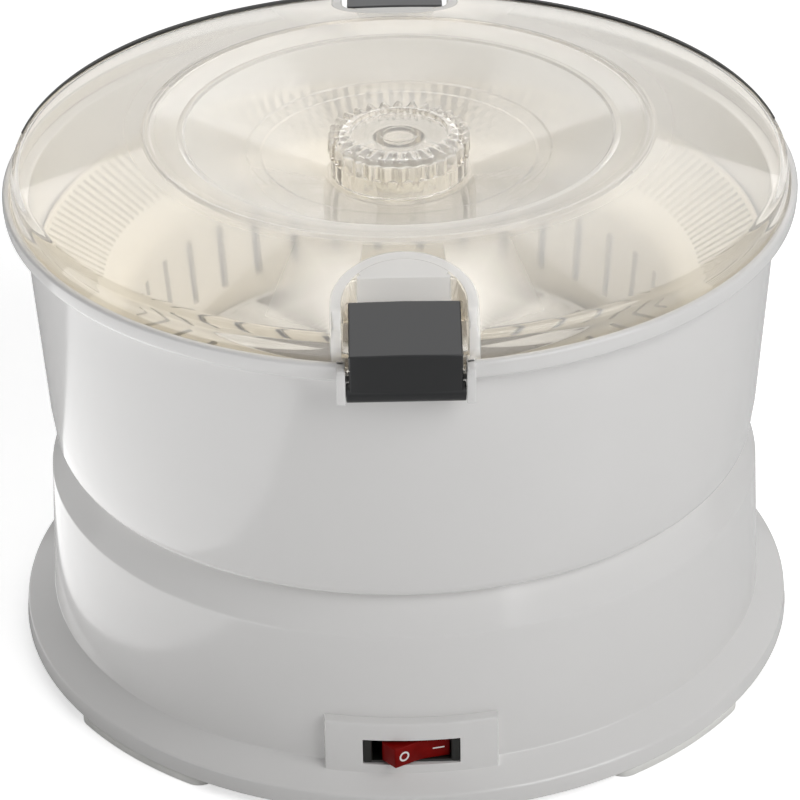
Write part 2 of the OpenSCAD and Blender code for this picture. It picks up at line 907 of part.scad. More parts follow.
module disc_hub() {
    color(WHITE)
    difference() {
        union() {
            ring(hub_r, disc_bore_r, disc_z + disc_t + 2, hub_top_z);
            ring(hub_flange_r, disc_bore_r, disc_z + disc_t + 2, disc_z + disc_t + 4);
            translate([0, 0, hub_top_z - 3]) cylinder(h = 3, r = hub_r);
            translate([0, 0, hub_socket_z]) cylinder(h = hub_top_z - hub_socket_z, r = 9.8);
            translate([0, 0, hub_top_z - 0.5]) cylinder(h = 2.5, r1 = 14, r2 = 11);
        }
        hex_prism(hex_af + 0.6, hub_socket_z - eps, hub_top_z - 3);
        for (a = hub_screw_angles)
            rotate([0, 0, a])
                translate([hub_screw_r, 0, 60]) cylinder(h = 40, r = bolt_hole_r);
    }
}

module hub_screws() {
    color(STEEL)
        for (a = hub_screw_angles)
            rotate([0, 0, a])
                translate([hub_screw_r, 0, disc_z + disc_t + 4])
                    rotate([180, 0, 0]) pan_screw(screw_shank_r, 7, screw_head_r - 0.4, 1.4);
}

// ---------- lid ----------

// Outline of a clip pocket seen from above, grown by g
module pocket_outline(g) {
    half = pocket_half_w + g;
    intersection() {
        union() {
            translate([0, -pocket_centre_r]) circle(half);
            translate([-half, -pocket_reach]) square([2 * half, pocket_reach - pocket_centre_r]);
        }
        translate([-half, -pocket_reach]) square([2 * half, pocket_reach - pocket_wall_r + g]);
    }
}

module lip_outline() {
    difference() {
        union() {
            translate([0, -pocket_centre_r]) circle(pocket_half_w + lip_w);
            translate([-pocket_half_w - lip_w, -pocket_reach])
                square([2 * (pocket_half_w + lip_w), pocket_reach - pocket_centre_r]);
        }
        translate([0, -pocket_centre_r]) circle(pocket_half_w);
        translate([-pocket_half_w, -pocket_reach - eps])
            square([2 * pocket_half_w, pocket_reach + eps - pocket_centre_r]);
    }
}

// Everything under the lid's outside, raised by h, down to z0
module under_lid(h, z0) {
    turned([
        [0, z0], [skirt_r, z0], [skirt_r - 0.1, 164], [lid_edge_r + 1.3, 167 + h * 0.5],
        [lid_edge_r, lid_edge_z + h], [ring_r, ring_z + h], [0, ring_z + h]
    ]);
}

module lid_shell() {
    outer = concat(
        [[skirt_r, skirt_low_z], [skirt_r - 0.1, 164.5]],
        bend([skirt_r - 0.3, 166.4], [skirt_r - 0.6, 169.1], [lid_edge_r - 0.6, lid_edge_z + 0.2]),
        [[ring_r + 1.6, ring_z - 0.3]],
        bend([ring_r + 0.6, ring_z + 0.1], [ring_r, ring_z + 0.7], [ring_r - 1.6, ring_z - 0.2]),
        [[inner_ring_r + 1.4, inner_ring_z + 0.1]],
        bend([inner_ring_r + 0.8, inner_ring_z + 0.4], [inner_ring_r, inner_ring_z + 0.5],
             [inner_ring_r - 1, inner_ring_z - 0.5]),
        [[dish_r + 5, 170.3], [dish_r + 4.4, 169.9], [dish_r + 0.6, dish_z],
         [dish_r - 0.2, dish_z - 0.1], [well_r + 0.4, well_z + 0.3], [well_r, well_z],
         [stem_r + stem_gap, well_z]]
    );
    inner = [
        [stem_r + stem_gap, well_z - lid_t], [well_r + 1, well_z - lid_t],
        [dish_r + 0.4, dish_z - lid_t - 0.2], [dish_r + 5.4, 170.1 - lid_t],
        [inner_ring_r, inner_ring_z - lid_t - 0.3], [ring_r, ring_z - lid_t - 0.2],
        [lid_edge_r - 1.6, lid_edge_z - lid_t + 0.1], [skirt_r - lid_t - 0.2, 166],
        [skirt_r - lid_t, 164.5], [skirt_r - lid_t, skirt_low_z]
    ];
    turned(concat(outer, inner));
}

module lid_pocket() {
    // Floor, then wall, then the raised lip around the mouth
    intersection() {
        union() {
            translate([0, 0, pocket_floor_z - lid_t])
                linear_extrude(lid_t) pocket_outline(lid_t);
            translate([0, 0, pocket_floor_z - lid_t])
                linear_extrude(30)
                    difference() {
                        pocket_outline(lid_t);
                        pocket_outline(0);
                    }
        }
        under_lid(-0.6, pocket_floor_z - lid_t - eps);
    }
    intersection() {
        translate([0, 0, pocket_floor_z]) linear_extrude(30) lip_outline();
        under_lid(lip_h, pocket_floor_z - eps);
        difference() {
            translate([0, 0, 100]) cylinder(h = 100, r = skirt_r + 1);
            under_lid(-lid_t, 90);
        }
    }
}

module lid() {
    color(CLEAR)
    union() {
        difference() {
            lid_shell();
            at_clips()
                translate([0, 0, pocket_floor_z]) linear_extrude(30) pocket_outline(0);
        }
        at_clips() lid_pocket();
    }
}

// ---------- knob ----------

module knob() {
    rib_points = 8;
    rib_depth = 1;
    body_r = knob_r - rib_depth;
    crown_h = knob_top_z - crown_z;
    tier_r = 22;
    tier_in_r = 19.4;
    dish_rim_r = 15.5;
    steps = knob_ribs * rib_points;
    color(CLEAR)
    difference() {
        union() {
            intersection() {
                translate([0, 0, crown_z])
                    linear_extrude(crown_h)
                        polygon([for (i = [0:steps - 1])
                            let (a = i * 360 / steps,
                                 r = body_r + rib_depth * cos(knob_ribs * a))
                            r * [cos(a), sin(a)]]);
                turned([[0, crown_z - eps], [knob_r + 0.1, crown_z - eps],
                        [knob_r + 0.1, crown_z + 0.8], [knob_r - 0.6, knob_top_z - 1.4],
                        [knob_r - 1.6, knob_top_z - 0.3], [knob_r - 2.6, knob_top_z],
                        [0, knob_top_z]]);
            }
            ring(tier_r, tier_in_r, knob_z, crown_z + eps);
            translate([0, 0, well_z - lid_t - 5.2])
                cylinder(h = crown_z + 6 - well_z + lid_t, r = stem_r);
        }
        // Dished top with a ring in its middle
        difference() {
            translate([0, 0, knob_top_z - 1.6]) cylinder(h = 5, r = dish_rim_r);
            ring(6.2, 5, knob_top_z - 5, knob_top_z - 0.9);
        }
        // Hollow under the crown, around the stem
        ring(tier_in_r, stem_r, knob_z - eps, knob_top_z - 3.6);
        translate([0, 0, 100]) cylinder(h = knob_top_z - 105, r = stem_r - 2.4);
        // Groove that takes the retainer
        ring(stem_r + 1, stem_r - 1, well_z - lid_t - 3.4, well_z - lid_t - 2);
    }
}

module knob_washer() {
    color(NYLON)
        ring(11, stem_r + stem_gap, well_z - lid_t - 1.4, well_z - lid_t - 0.1);
}

module knob_retainer() {
    color(STEEL)
    difference() {
        ring(10.4, stem_r - 0.95, well_z - lid_t - 3.2, well_z - lid_t - 2.2);
        block([0, -3.5, 100], [20, 3.5, 200]);
    }
}

// ---------- clips ----------

// Side view of a clip: distance outwards against height
module clip_profile() {
    polygon(concat(
        [[127.6, pin_z], [130.5, pin_z], [130.5, 166]],
        bend([130.4, 166.6], [130.2, 167.3], [129.2, 167.4], 3),
        bend([107.2, 171.4], [106.2, 171.6], [106.1, 170.4], 3),
        [[106.1, 165.2], [107, pocket_floor_z + 0.5], [110, pocket_floor_z + 0.5],
         [111, 167.2], [112.4, 167.9], [124.8, 165.7], [126.2, 164.8], [126.8, 163.4]]
    ));
}

module clip() {
    color(CHARCOAL)
    difference() {
        union() {
            translate([clip_w / 2, 0, 0])
                rotate([90, 0, -90])
                    linear_extrude(clip_w)
                        clip_profile();
            translate([-clip_w / 2, -pin_r, pin_z])
                rotate([0, 90, 0]) cylinder(h = clip_w, r = knuckle_r);
        }
        translate([-clip_w / 2 - eps, -pin_r, pin_z])
            rotate([0, 90, 0]) cylinder(h = clip_w + 2 * eps, r = pin_rad + bush_gap);
    }
}

module clip_front() {
    clip();
}

module clip_rear() {
    rotate([0, 0, 180]) clip();
}

base_housing();
base_cover();
cover_screws();
foot_pads();
switch_body();
switch_terminals();
cord_gland();
gland_nut();
terminal_block();
supply_leads();
motor_stator();
motor_coil();
motor_bracket_upper();
motor_bracket_lower();
motor_bushes();
motor_bolts();
motor_screws();
shaft_bush_upper();
shaft_bush_lower();
thrust_washer();
rotor_core();
motor_shaft();
motor_pinion();
cooling_fan();
drive_gear();
drive_shaft();
drive_head();
shaft_circlip();
switch_rocker();
bowl();
peel_drum();
clip_pins();
peeling_disc();
abrasive_sheet();
disc_hub();
hub_screws();
lid();
knob();
knob_washer();
knob_retainer();
clip_front();
clip_rear();
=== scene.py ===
"""Electric potato peeler: fine surfaces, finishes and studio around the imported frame.

Lengths inside the classes are millimetres in the part's own frame: +Z up, origin on the ground
under the middle of the base, the switch towards -Y. Meshes are written in metres.
"""

import logging
import math
from dataclasses import dataclass, field
from enum import Enum

import bmesh
import bpy
import numpy as np
from mathutils import Matrix, Vector
from mathutils.geometry import delaunay_2d_cdt


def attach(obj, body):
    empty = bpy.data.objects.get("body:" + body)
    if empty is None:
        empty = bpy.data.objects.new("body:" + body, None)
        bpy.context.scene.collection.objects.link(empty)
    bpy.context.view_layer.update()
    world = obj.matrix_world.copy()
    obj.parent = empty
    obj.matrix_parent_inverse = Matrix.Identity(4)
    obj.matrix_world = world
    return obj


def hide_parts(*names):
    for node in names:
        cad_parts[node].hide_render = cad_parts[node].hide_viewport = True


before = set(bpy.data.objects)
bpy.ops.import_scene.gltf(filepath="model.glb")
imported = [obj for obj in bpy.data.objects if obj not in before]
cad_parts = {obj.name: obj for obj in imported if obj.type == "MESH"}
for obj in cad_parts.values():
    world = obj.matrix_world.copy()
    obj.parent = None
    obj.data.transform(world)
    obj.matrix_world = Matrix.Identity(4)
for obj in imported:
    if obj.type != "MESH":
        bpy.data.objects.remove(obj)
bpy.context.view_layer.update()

LOG = logging.getLogger("peeler")
MM = 0.001
FULL_TURN = 2 * math.pi
QUARTER = math.pi / 2
SHARP_ANGLE = math.radians(38)
LID_SHARP_ANGLE = math.radians(26)
COLUMNS = 288
# Axes that stand a flat outline up: its x goes to +Y, its y to +Z and its height to +X
UPRIGHT = ((0, 1, 0), (0, 0, 1), (1, 0, 0))
Triple = tuple[float, float, float]


class Body(Enum):
    """The bodies that carry the pieces made here."""

    BASE = "base"
    ROCKER = "rocker"
    BOWL = "bowl"
    DISC = "disc"
    LID = "lid"
    KNOB = "knob"
    FRONT_CLIP = "front_clip"
    REAR_CLIP = "rear_clip"


class Side(Enum):
    """The two places of a clip, as the turn about Z that takes the front one there."""

    FRONT = 0.0
    REAR = 180.0


# ---------------------------------------------------------------- finishes


class Sheet:
    """A node tree, with short calls for the nodes that the finishes and the studio use."""

    def __init__(self, owner: bpy.types.Material | bpy.types.World) -> None:
        """Start an empty tree.

        Args:
            owner: The material or world that holds it.
        """
        owner.use_nodes = True
        owner.node_tree.nodes.clear()
        self.owner, self.tree = owner, owner.node_tree

    @property
    def place(self) -> bpy.types.NodeSocket:
        """The place on the object."""
        return self.node("ShaderNodeTexCoord").outputs["Object"]

    def node(self, kind: str, *slots: object, settings: dict | None = None,
             **inputs: object) -> bpy.types.Node:
        """Add a node, and give its inputs a value or link them to an output socket.

        Args:
            kind: The node's type name.
            slots: What its first inputs get, in order.
            settings: Properties to set on the node.
            inputs: What other inputs get, by name with _ for a space.

        Returns:
            The new node.
        """
        made = self.tree.nodes.new(kind)
        for key, value in (settings or {}).items():
            setattr(made, key, value)
        named = {key.replace("_", " "): value for key, value in inputs.items()}
        for key, value in [*enumerate(slots), *named.items()]:
            socket = made.inputs[key]
            if isinstance(value, bpy.types.NodeSocket):
                self.tree.links.new(value, socket)
            else:
                socket.default_value = (*value, 1.0) if socket.type == "RGBA" else value
        return made

    def noise(self, scale: float, detail: float = 3.0) -> bpy.types.NodeSocket:
        """Noise from 0 to 1 over the object, by waves per metre and octaves of finer waves."""
        made = self.node("ShaderNodeTexNoise", Vector=self.place, Scale=scale, Detail=detail)
        return made.outputs["Fac"]

    def ranged(self, value: bpy.types.NodeSocket, low: float, high: float) -> bpy.types.NodeSocket:
        """Spread noise over a range: low where it is 0.3 and high where it is 0.7."""
        made = self.node("ShaderNodeMapRange", value, 0.3, 0.7, low, high, settings={"clamp": False})
        return made.outputs["Result"]

    def blended(self, factor: bpy.types.NodeSocket, one: Triple, two: Triple) -> bpy.types.NodeSocket:
        """Mix two colours.

        Args:
            factor: The share of the second colour.
            one: First colour.
            two: Second colour.

        Returns:
            The colour socket.
        """
        made = self.node("ShaderNodeMix", factor, settings={"data_type": "RGBA"})
        # The colours are the inputs 6 and 7 and the output 2 of this node
        made.inputs[6].default_value = (*one, 1.0)
        made.inputs[7].default_value = (*two, 1.0)
        return made.outputs[2]

    def relief(self, *layers: tuple[float, float, float, float]) -> bpy.types.NodeSocket:
        """Tilt the surface by layers of noise, the coarsest first.

        Args:
            layers: Waves per metre, octaves, depth in metres and strength of each layer.

        Returns:
            The normal socket.
        """
        under: dict[str, bpy.types.NodeSocket] = {}
        for scale, detail, depth, strength in layers:
            made = self.node("ShaderNodeBump", Height=self.noise(scale, detail), Distance=depth,
                             Strength=strength, **under)
            under = {"Normal": made.outputs["Normal"]}
        return under["Normal"]

    def close(self, shader: bpy.types.NodeSocket, **volume: bpy.types.NodeSocket) -> bpy.types.Material:
        """Send a shader, and a volume if there is one, to the output, and return the material."""
        self.node("ShaderNodeOutputMaterial", Surface=shader, **volume)
        return self.owner


@dataclass(frozen=True)
class Opaque:
    """An opaque finish: two tones in soft patches, wandering roughness and fine relief.

    The patches are (waves per metre, octaves), the roughness is (waves, octaves, low, high) and
    the layers are those of Sheet.relief. The rest goes to the shader by socket name.
    """

    name: str
    tones: tuple[Triple, Triple]
    patches: tuple[float, float]
    rough: tuple[float, float, float, float]
    layers: tuple[tuple[float, float, float, float], ...]
    rest: dict[str, object] = field(default_factory=dict)

    @classmethod
    def moulded(cls, name: str, tone: Triple, gloss: float, drift: float = 0.012,
                specular: float = 0.5) -> "Opaque":
        """Injection-moulded plastic: an even tone, a soft wave and a fine spark texture.

        Args:
            name: The material's name.
            tone: Its colour.
            gloss: Its roughness, give or take 0.01.
            drift: How much darker its dark patches are.
            specular: The strength of its sheen.

        Returns:
            The finish.
        """
        darker = tuple(c * (1 - drift) for c in tone)
        return cls(name, (tone, darker), (14.0, 1.0), (30.0, 1.0, gloss - 0.01, gloss + 0.01),
                   ((9.0, 0.0, 0.0006, 0.2), (800.0, 0.0, 0.0000012, 0.6)),
                   {"IOR": 1.5, "Specular_IOR_Level": specular})

    @classmethod
    def metal(cls, name: str, tone: Triple, rough: float = 0.32) -> "Opaque":
        """Plain machine metal with fine scratches and a little tarnish.

        Args:
            name: The material's name.
            tone: Its colour.
            rough: Its middle roughness.

        Returns:
            The finish.
        """
        worn = tuple(c * 0.8 for c in tone)
        return cls(name, (tone, worn), (150.0, 3.0), (600.0, 3.0, rough * 0.75, rough * 1.3),
                   ((3000.0, 2.0, 0.000004, 0.5),), {"Metallic": 1.0})

    def material(self) -> bpy.types.Material:
        """Build the node material.

        Returns:
            The material.
        """
        sheet = Sheet(bpy.data.materials.new(self.name))
        tone = sheet.blended(sheet.ranged(sheet.noise(*self.patches), 0.0, 1.0), *self.tones)
        scale, detail, low, high = self.rough
        shader = sheet.node("ShaderNodeBsdfPrincipled", Base_Color=tone,
                            Roughness=sheet.ranged(sheet.noise(scale, detail), low, high),
                            Normal=sheet.relief(*self.layers), **self.rest)
        return sheet.close(shader.outputs[0])


@dataclass(frozen=True)
class Clear:
    """Clear moulded plastic with a slight haze, milky where the attribute "frost" is 1.

    It lets lamps through to what is behind it.
    """

    name: str
    depth_density: float = 18.0
    tone: Triple = (0.985, 0.975, 0.955)
    pass_tone: Triple = (0.93, 0.92, 0.90)
    depth_tone: Triple = (0.93, 0.76, 0.42)
    ior: float = 1.5
    rough: float = 0.03
    frost_rough: float = 0.22
    clearness: float = 0.89
    frost_clearness: float = 0.15

    def material(self) -> bpy.types.Material:
        """Build the node material.

        Returns:
            The material.
        """
        sheet = Sheet(bpy.data.materials.new(self.name))
        frosted = sheet.node("ShaderNodeAttribute", settings={"attribute_name": "frost"}).outputs["Fac"]
        drift = sheet.ranged(sheet.noise(40.0), self.rough * 0.6, self.rough * 1.4)
        rough = sheet.node("ShaderNodeMapRange", Value=frosted, To_Min=drift,
                           To_Max=self.frost_rough)
        clear = sheet.node("ShaderNodeMapRange", Value=frosted, To_Min=self.clearness,
                           To_Max=self.frost_clearness)
        body = sheet.node("ShaderNodeBsdfPrincipled", Base_Color=self.tone, IOR=self.ior,
                          Roughness=rough.outputs[0], Transmission_Weight=clear.outputs[0],
                          Normal=sheet.relief((14.0, 1.0, 0.0006, 0.22)))
        shadow = sheet.node("ShaderNodeLightPath").outputs["Is Shadow Ray"]
        film = sheet.node("ShaderNodeBsdfTransparent", Color=self.pass_tone)
        both = sheet.node("ShaderNodeMixShader", shadow, body.outputs[0], film.outputs[0])
        depth = sheet.node("ShaderNodeVolumeAbsorption", Color=self.depth_tone,
                           Density=self.depth_density)
        return sheet.close(both.outputs[0], Volume=depth.outputs[0])


@dataclass(frozen=True)
class Abrasive:
    """Mineral grit bonded to the disc: pale and dark grains of about half a millimetre."""

    name: str
    tones: tuple[Triple, Triple]
    grain: float = 1600.0

    def material(self) -> bpy.types.Material:
        """Build the node material.

        Returns:
            The material.
        """
        sheet = Sheet(bpy.data.materials.new(self.name))
        cells = sheet.node("ShaderNodeTexVoronoi", Vector=sheet.place, Scale=self.grain)
        grit = sheet.node("ShaderNodeBump", Height=cells.outputs["Distance"], Distance=0.0005,
                          Strength=0.7)
        shader = sheet.node("ShaderNodeBsdfPrincipled", Roughness=0.7, Normal=grit.outputs["Normal"],
                            Base_Color=sheet.blended(cells.outputs["Color"], *self.tones))
        return sheet.close(shader.outputs[0])


class Finish(Enum):
    """The finishes of the peeler, each with the name of the material slot that it belongs to."""

    SHELL = ("white_abs", Opaque.moulded("white shell plastic", (0.78, 0.772, 0.762), 0.13))
    DRUM = ("cream_abs", Opaque.moulded("cream drum plastic", (0.80, 0.75, 0.645), 0.38))
    COVER = ("clear_plastic", Clear("clear lid plastic"))
    GRIP = ("clear_plastic", Clear("clear knob plastic", 14.0))
    CLIP = ("charcoal_plastic", Opaque.moulded("charcoal clip plastic", (0.0045, 0.005, 0.0058),
                                               0.33, drift=0.15, specular=0.55))
    FRAME = ("black_plastic", Opaque.moulded("black switch plastic", (0.012, 0.012, 0.010),
                                             0.42, drift=0.2, specular=0.4))
    LENS = ("red_plastic", Opaque(
        "red rocker lens", ((0.15, 0.002, 0.0015), (0.21, 0.004, 0.003)), (180.0, 3.0),
        (250.0, 3.0, 0.32, 0.36), ((300.0, 1.0, 0.00004, 0.4),),
        {"Specular_IOR_Level": 0.06, "Subsurface_Weight": 0.25, "Subsurface_Scale": 0.002,
         "Subsurface_Radius": (1.0, 0.1, 0.05)}))
    LEGEND = ("white_abs", Opaque.moulded("white legend ink", (0.80, 0.78, 0.76), 0.5))
    PAD = ("grey_rubber", Opaque(
        "grey pad rubber", ((0.80, 0.795, 0.77), (0.896, 0.8904, 0.8624)), (90.0, 3.0),
        (120.0, 3.0, 0.62, 0.8), ((900.0, 4.0, 0.00008, 0.5),), {"Specular_IOR_Level": 0.35}))
    STEEL = ("steel", Opaque.metal("plated steel", (0.62, 0.62, 0.61)))
    LAMINATION = ("lamination_steel", Opaque.metal("lamination steel", (0.20, 0.21, 0.22), 0.45))
    COPPER = ("copper", Opaque.metal("enamelled copper", (0.60, 0.27, 0.12), 0.28))
    BRASS = ("brass", Opaque.metal("turned brass", (0.62, 0.45, 0.18), 0.30))
    NYLON = ("nylon", Opaque.moulded("natural nylon", (0.72, 0.70, 0.62), 0.42))
    GRIT = ("grit", Abrasive("bonded grit", ((0.34, 0.31, 0.27), (0.10, 0.09, 0.08))))

    @property
    def slot(self) -> str:
        """The name of its material slot."""
        return self.value[0]

    def material(self) -> bpy.types.Material:
        """The Blender material, built once."""
        spec = self.value[1]
        return bpy.data.materials.get(spec.name) or spec.material()


# ---------------------------------------------------------------- surfaces


@dataclass
class Skin:
    """Vertices in millimetres and the faces over them, as whole arrays."""

    points: np.ndarray
    faces: list[np.ndarray]

    @staticmethod
    def joined(skins: list["Skin"]) -> "Skin":
        """Put several skins into one.

        Args:
            skins: The skins.

        Returns:
            One skin that holds them all.
        """
        starts = np.cumsum([0] + [len(s.points) for s in skins[:-1]])
        faces = [f + start for s, start in zip(skins, starts) for f in s.faces]
        return Skin(np.concatenate([s.points for s in skins]), faces)

    @staticmethod
    def lofted(rings: np.ndarray) -> "Skin":
        """Closed rings of points (ring, place, axis) joined in turn and capped at both ends."""
        index = np.arange(rings[..., 0].size).reshape(rings.shape[:2])
        return Skin(rings.reshape(-1, 3), [strip(index[:-1], index[1:]), index[:1], index[-1:]])

    def turned(self, degrees: float) -> "Skin":
        """The same skin turned about Z, by the right-hand rule."""
        cos, sin = math.cos(math.radians(degrees)), math.sin(math.radians(degrees))
        return self.stood(((cos, sin, 0), (-sin, cos, 0), (0, 0, 1)))

    def stood(self, axes: tuple[Triple, Triple, Triple]) -> "Skin":
        """The same skin with its x, y and z axes pointed along the given ones."""
        return Skin(self.points @ np.array(axes, float), self.faces)

    def moved(self, offset: Triple) -> "Skin":
        """The same skin shifted by millimetres."""
        return Skin(self.points + np.array(offset), self.faces)

    def build(self, name: str, sharp: float = SHARP_ANGLE) -> bpy.types.Object:
        """Make a closed mesh object at the origin, with merged doubles and outward faces.

        Args:
            name: The object's name.
            sharp: Edges that bend more than this stay crisp.

        Returns:
            The object.
        """
        faces = [row for block in self.faces for row in block.tolist()]
        mesh = bpy.data.meshes.new(name)
        mesh.from_pydata((self.points * MM).tolist(), [], faces)
        work = bmesh.new()
        work.from_mesh(mesh)
        bmesh.ops.remove_doubles(work, verts=work.verts, dist=2e-6)
        bmesh.ops.dissolve_degenerate(work, edges=work.edges, dist=1e-7)
        loose = [edge for edge in work.edges if edge.is_wire]
        bmesh.ops.delete(work, geom=loose, context="EDGES")
        bmesh.ops.recalc_face_normals(work, faces=work.faces)
        work.to_mesh(mesh)
        work.free()
        mesh.shade_smooth()
        mesh.set_sharp_from_angle(angle=sharp)
        return placed(name, mesh)


def placed(name: str, data: bpy.types.ID) -> bpy.types.Object:
    """Add an object with the data to the scene.

    Args:
        name: The object's name.
        data: Its mesh, light or camera.

    Returns:
        The object.
    """
    made = bpy.data.objects.new(name, data)
    bpy.context.scene.collection.objects.link(made)
    return made


def rounded(corners: list[Triple], closed: bool = True,
            steps: int = 6) -> np.ndarray:
    """An outline whose corners are circular arcs.

    Each corner (x, y, radius) is cut where an arc of that radius touches both of its sides: the
    touching points lie radius / tan(half the corner's angle) from it, but at most 44% of a side.
    One more point on each side, a little past the arc, keeps the shading of the side flat.

    Args:
        corners: The corners in order.
        closed: Whether the last corner joins the first.
        steps: Points on an arc, less one.

    Returns:
        The outline's points, one row each.
    """
    spots = np.array(corners, float)
    xy, radii = spots[:, :2], spots[:, 2]
    count = len(xy)
    out: list[np.ndarray] = []
    for i, (spot, radius) in enumerate(zip(xy, radii)):
        if radius <= 0 or (not closed and i in (0, count - 1)):
            out.append(spot[None])
            continue
        back, ahead = xy[i - 1] - spot, xy[(i + 1) % count] - spot
        len_back, len_ahead = np.linalg.norm(back), np.linalg.norm(ahead)
        back, ahead = back / len_back, ahead / len_ahead
        half = math.acos(float(np.clip(back @ ahead, -1, 1))) / 2
        reach = min(radius / math.tan(half), 0.44 * len_back, 0.44 * len_ahead)
        bow = reach * math.tan(half)
        middle = spot + (back + ahead) / np.linalg.norm(back + ahead) * math.hypot(bow, reach)
        first, last = spot + back * reach - middle, spot + ahead * reach - middle
        sweep = math.pi - 2 * half
        t = np.linspace(0, 1, steps + 1)[:, None]
        out.append((spot + back * min(reach * 1.3, 0.49 * len_back))[None])
        out.append(middle + (np.sin((1 - t) * sweep) * first + np.sin(t * sweep) * last)
                   / math.sin(sweep))
        out.append((spot + ahead * min(reach * 1.3, 0.49 * len_ahead))[None])
    return np.concatenate(out)


def curve(a: tuple, b: tuple, c: tuple, steps: int = 12) -> list[Triple]:
    """A quadratic curve from a to c that is pulled towards b, as plain outline corners.

    Args:
        a: Start.
        b: The pulling point.
        c: End.
        steps: Points on the curve, less one.

    Returns:
        Corners with no radius of their own.
    """
    t = np.linspace(0, 1, steps + 1)[:, None]
    line = (1 - t) ** 2 * np.array(a) + 2 * t * (1 - t) * np.array(b) + t ** 2 * np.array(c)
    return [(x, y, 0.0) for x, y in line.tolist()]


def smooth(x: np.ndarray) -> np.ndarray:
    """The step 3x^2 - 2x^3, held to 0 and 1 outside."""
    x = np.clip(x, 0, 1)
    return x * x * (3 - 2 * x)


def circle_of(count: int) -> np.ndarray:
    """Angles of evenly spaced points on a circle, without its end."""
    return np.linspace(0, FULL_TURN, count, endpoint=False)


def polar(radius: np.ndarray | float, angle: np.ndarray | float) -> np.ndarray:
    """Points (x, y) from radius and angle."""
    return np.stack([radius * np.cos(angle), radius * np.sin(angle)], -1)


def columns(count: int, special: np.ndarray, clear: float) -> np.ndarray:
    """Column angles: special ones, and even ones where none of those is near.

    Args:
        count: Number of even angles on the circle.
        special: Angles that have to be there.
        clear: Least distance of an even angle from a special one.

    Returns:
        The angles, rising from 0.
    """
    even, special = circle_of(count), special % FULL_TURN
    gap = np.abs((even[:, None] - special + math.pi) % FULL_TURN - math.pi).min(1)
    return np.unique(np.round(np.concatenate([even[gap > clear], special]), 9))


def both_ends(angles: np.ndarray) -> np.ndarray:
    """Small angles as they lie either way from both ends of the Y axis."""
    spots = np.concatenate([angles, -angles])
    return np.concatenate([spots + QUARTER, spots - QUARTER])


def strip(near: np.ndarray, far: np.ndarray) -> np.ndarray:
    """Faces between two closed rings of point numbers, or two stacks of such rings."""
    ahead = [np.roll(ring, -1, -1) for ring in (near, far)]
    return np.stack([near, *ahead, far], -1).reshape(-1, 4)


@dataclass
class Window:
    """An opening through a turned wall: rows first..last outside, mate..mate+n inside."""

    first: int
    last: int
    mate: int
    open_cells: np.ndarray


@dataclass
class Turning:
    """A closed outline (radius, height) turned about Z.

    Row i of the grid is outline point i, and column j is the angle j. A window takes the cells
    away from both sides of the wall and joins their edges by straight walls.
    """

    outline: np.ndarray
    angles: np.ndarray
    windows: list[Window] = field(default_factory=list)

    def grid(self) -> tuple[np.ndarray, np.ndarray, np.ndarray]:
        """Radius, height and angle at every row and column."""
        shape = (len(self.outline), len(self.angles))
        radius, height = (np.broadcast_to(line[:, None], shape) for line in self.outline.T)
        return radius, height, np.broadcast_to(self.angles, shape)

    def skin(self, radius: np.ndarray | None = None, height: np.ndarray | None = None) -> Skin:
        """The turned surface: x = radius cos(angle), y = radius sin(angle), z = height.

        Args:
            radius: Radii to use in place of the outline's.
            height: Heights to use in place of the outline's.

        Returns:
            The skin, closed if the outline is.
        """
        plain_r, plain_z, angle = self.grid()
        r = plain_r if radius is None else radius
        z = plain_z if height is None else height
        index = np.arange(r.size).reshape(r.shape)
        cells = strip(index, np.roll(index, -1, 0)).reshape(*r.shape, 4)
        keep = np.ones(r.shape, bool)
        walls: list[np.ndarray] = []
        for w in self.windows:
            span = w.last - w.first
            outer = w.first + np.arange(span + 1)
            inner = w.mate + span - np.arange(span + 1)
            for start in (w.first, w.mate):
                keep[np.ix_(np.arange(start, start + span), w.open_cells)] = False
            walls += [strip(index[outer[end]], index[inner[end]])[w.open_cells]
                      for end in (0, span)]
            edge = w.open_cells != np.roll(w.open_cells, 1)
            a, b = index[outer][:, edge], index[inner][:, edge]
            walls.append(np.stack([a[:-1], a[1:], b[1:], b[:-1]], -1).reshape(-1, 4))
        return Skin(np.dstack([polar(r, angle), z]).reshape(-1, 3), [cells[keep], *walls])


def slab(outline: np.ndarray, low: float, high: float, bevel: float, steps: int = 3,
         between: tuple[float, ...] = ()) -> Skin:
    """A flat outline given thickness along Z, with rounded rims.

    Layer k stands in from the edge by bevel * (1 - sin(a_k)) and up by bevel * (1 - cos(a_k)).
    A last layer at each end, 1.3 bevels in, keeps the shading of the end flat.

    Args:
        outline: Points (x, y) of the outline, counter-clockwise.
        low: Lower height.
        high: Upper height.
        bevel: Radius of the rims.
        steps: Layers on each rim.
        between: Heights of further layers between the rims.

    Returns:
        The closed skin.
    """
    a = np.linspace(0, math.pi / 2, steps + 1)
    rim = np.concatenate([[1.3 * bevel], bevel * (1 - np.sin(a))])
    rise = np.concatenate([[0.0], bevel * (1 - np.cos(a))])
    inset = np.concatenate([rim, np.zeros(len(between)), rim[::-1]])
    level = np.concatenate([low + rise, between, high - rise[::-1]])
    ahead = np.roll(outline, -1, 0) - np.roll(outline, 1, 0)
    normal = np.stack([ahead[:, 1], -ahead[:, 0]], -1) / np.linalg.norm(ahead, axis=1)[:, None]
    flat = outline[None] - normal[None] * inset[:, None, None]
    return Skin.lofted(np.dstack([flat, np.broadcast_to(level[:, None], flat.shape[:2])]))


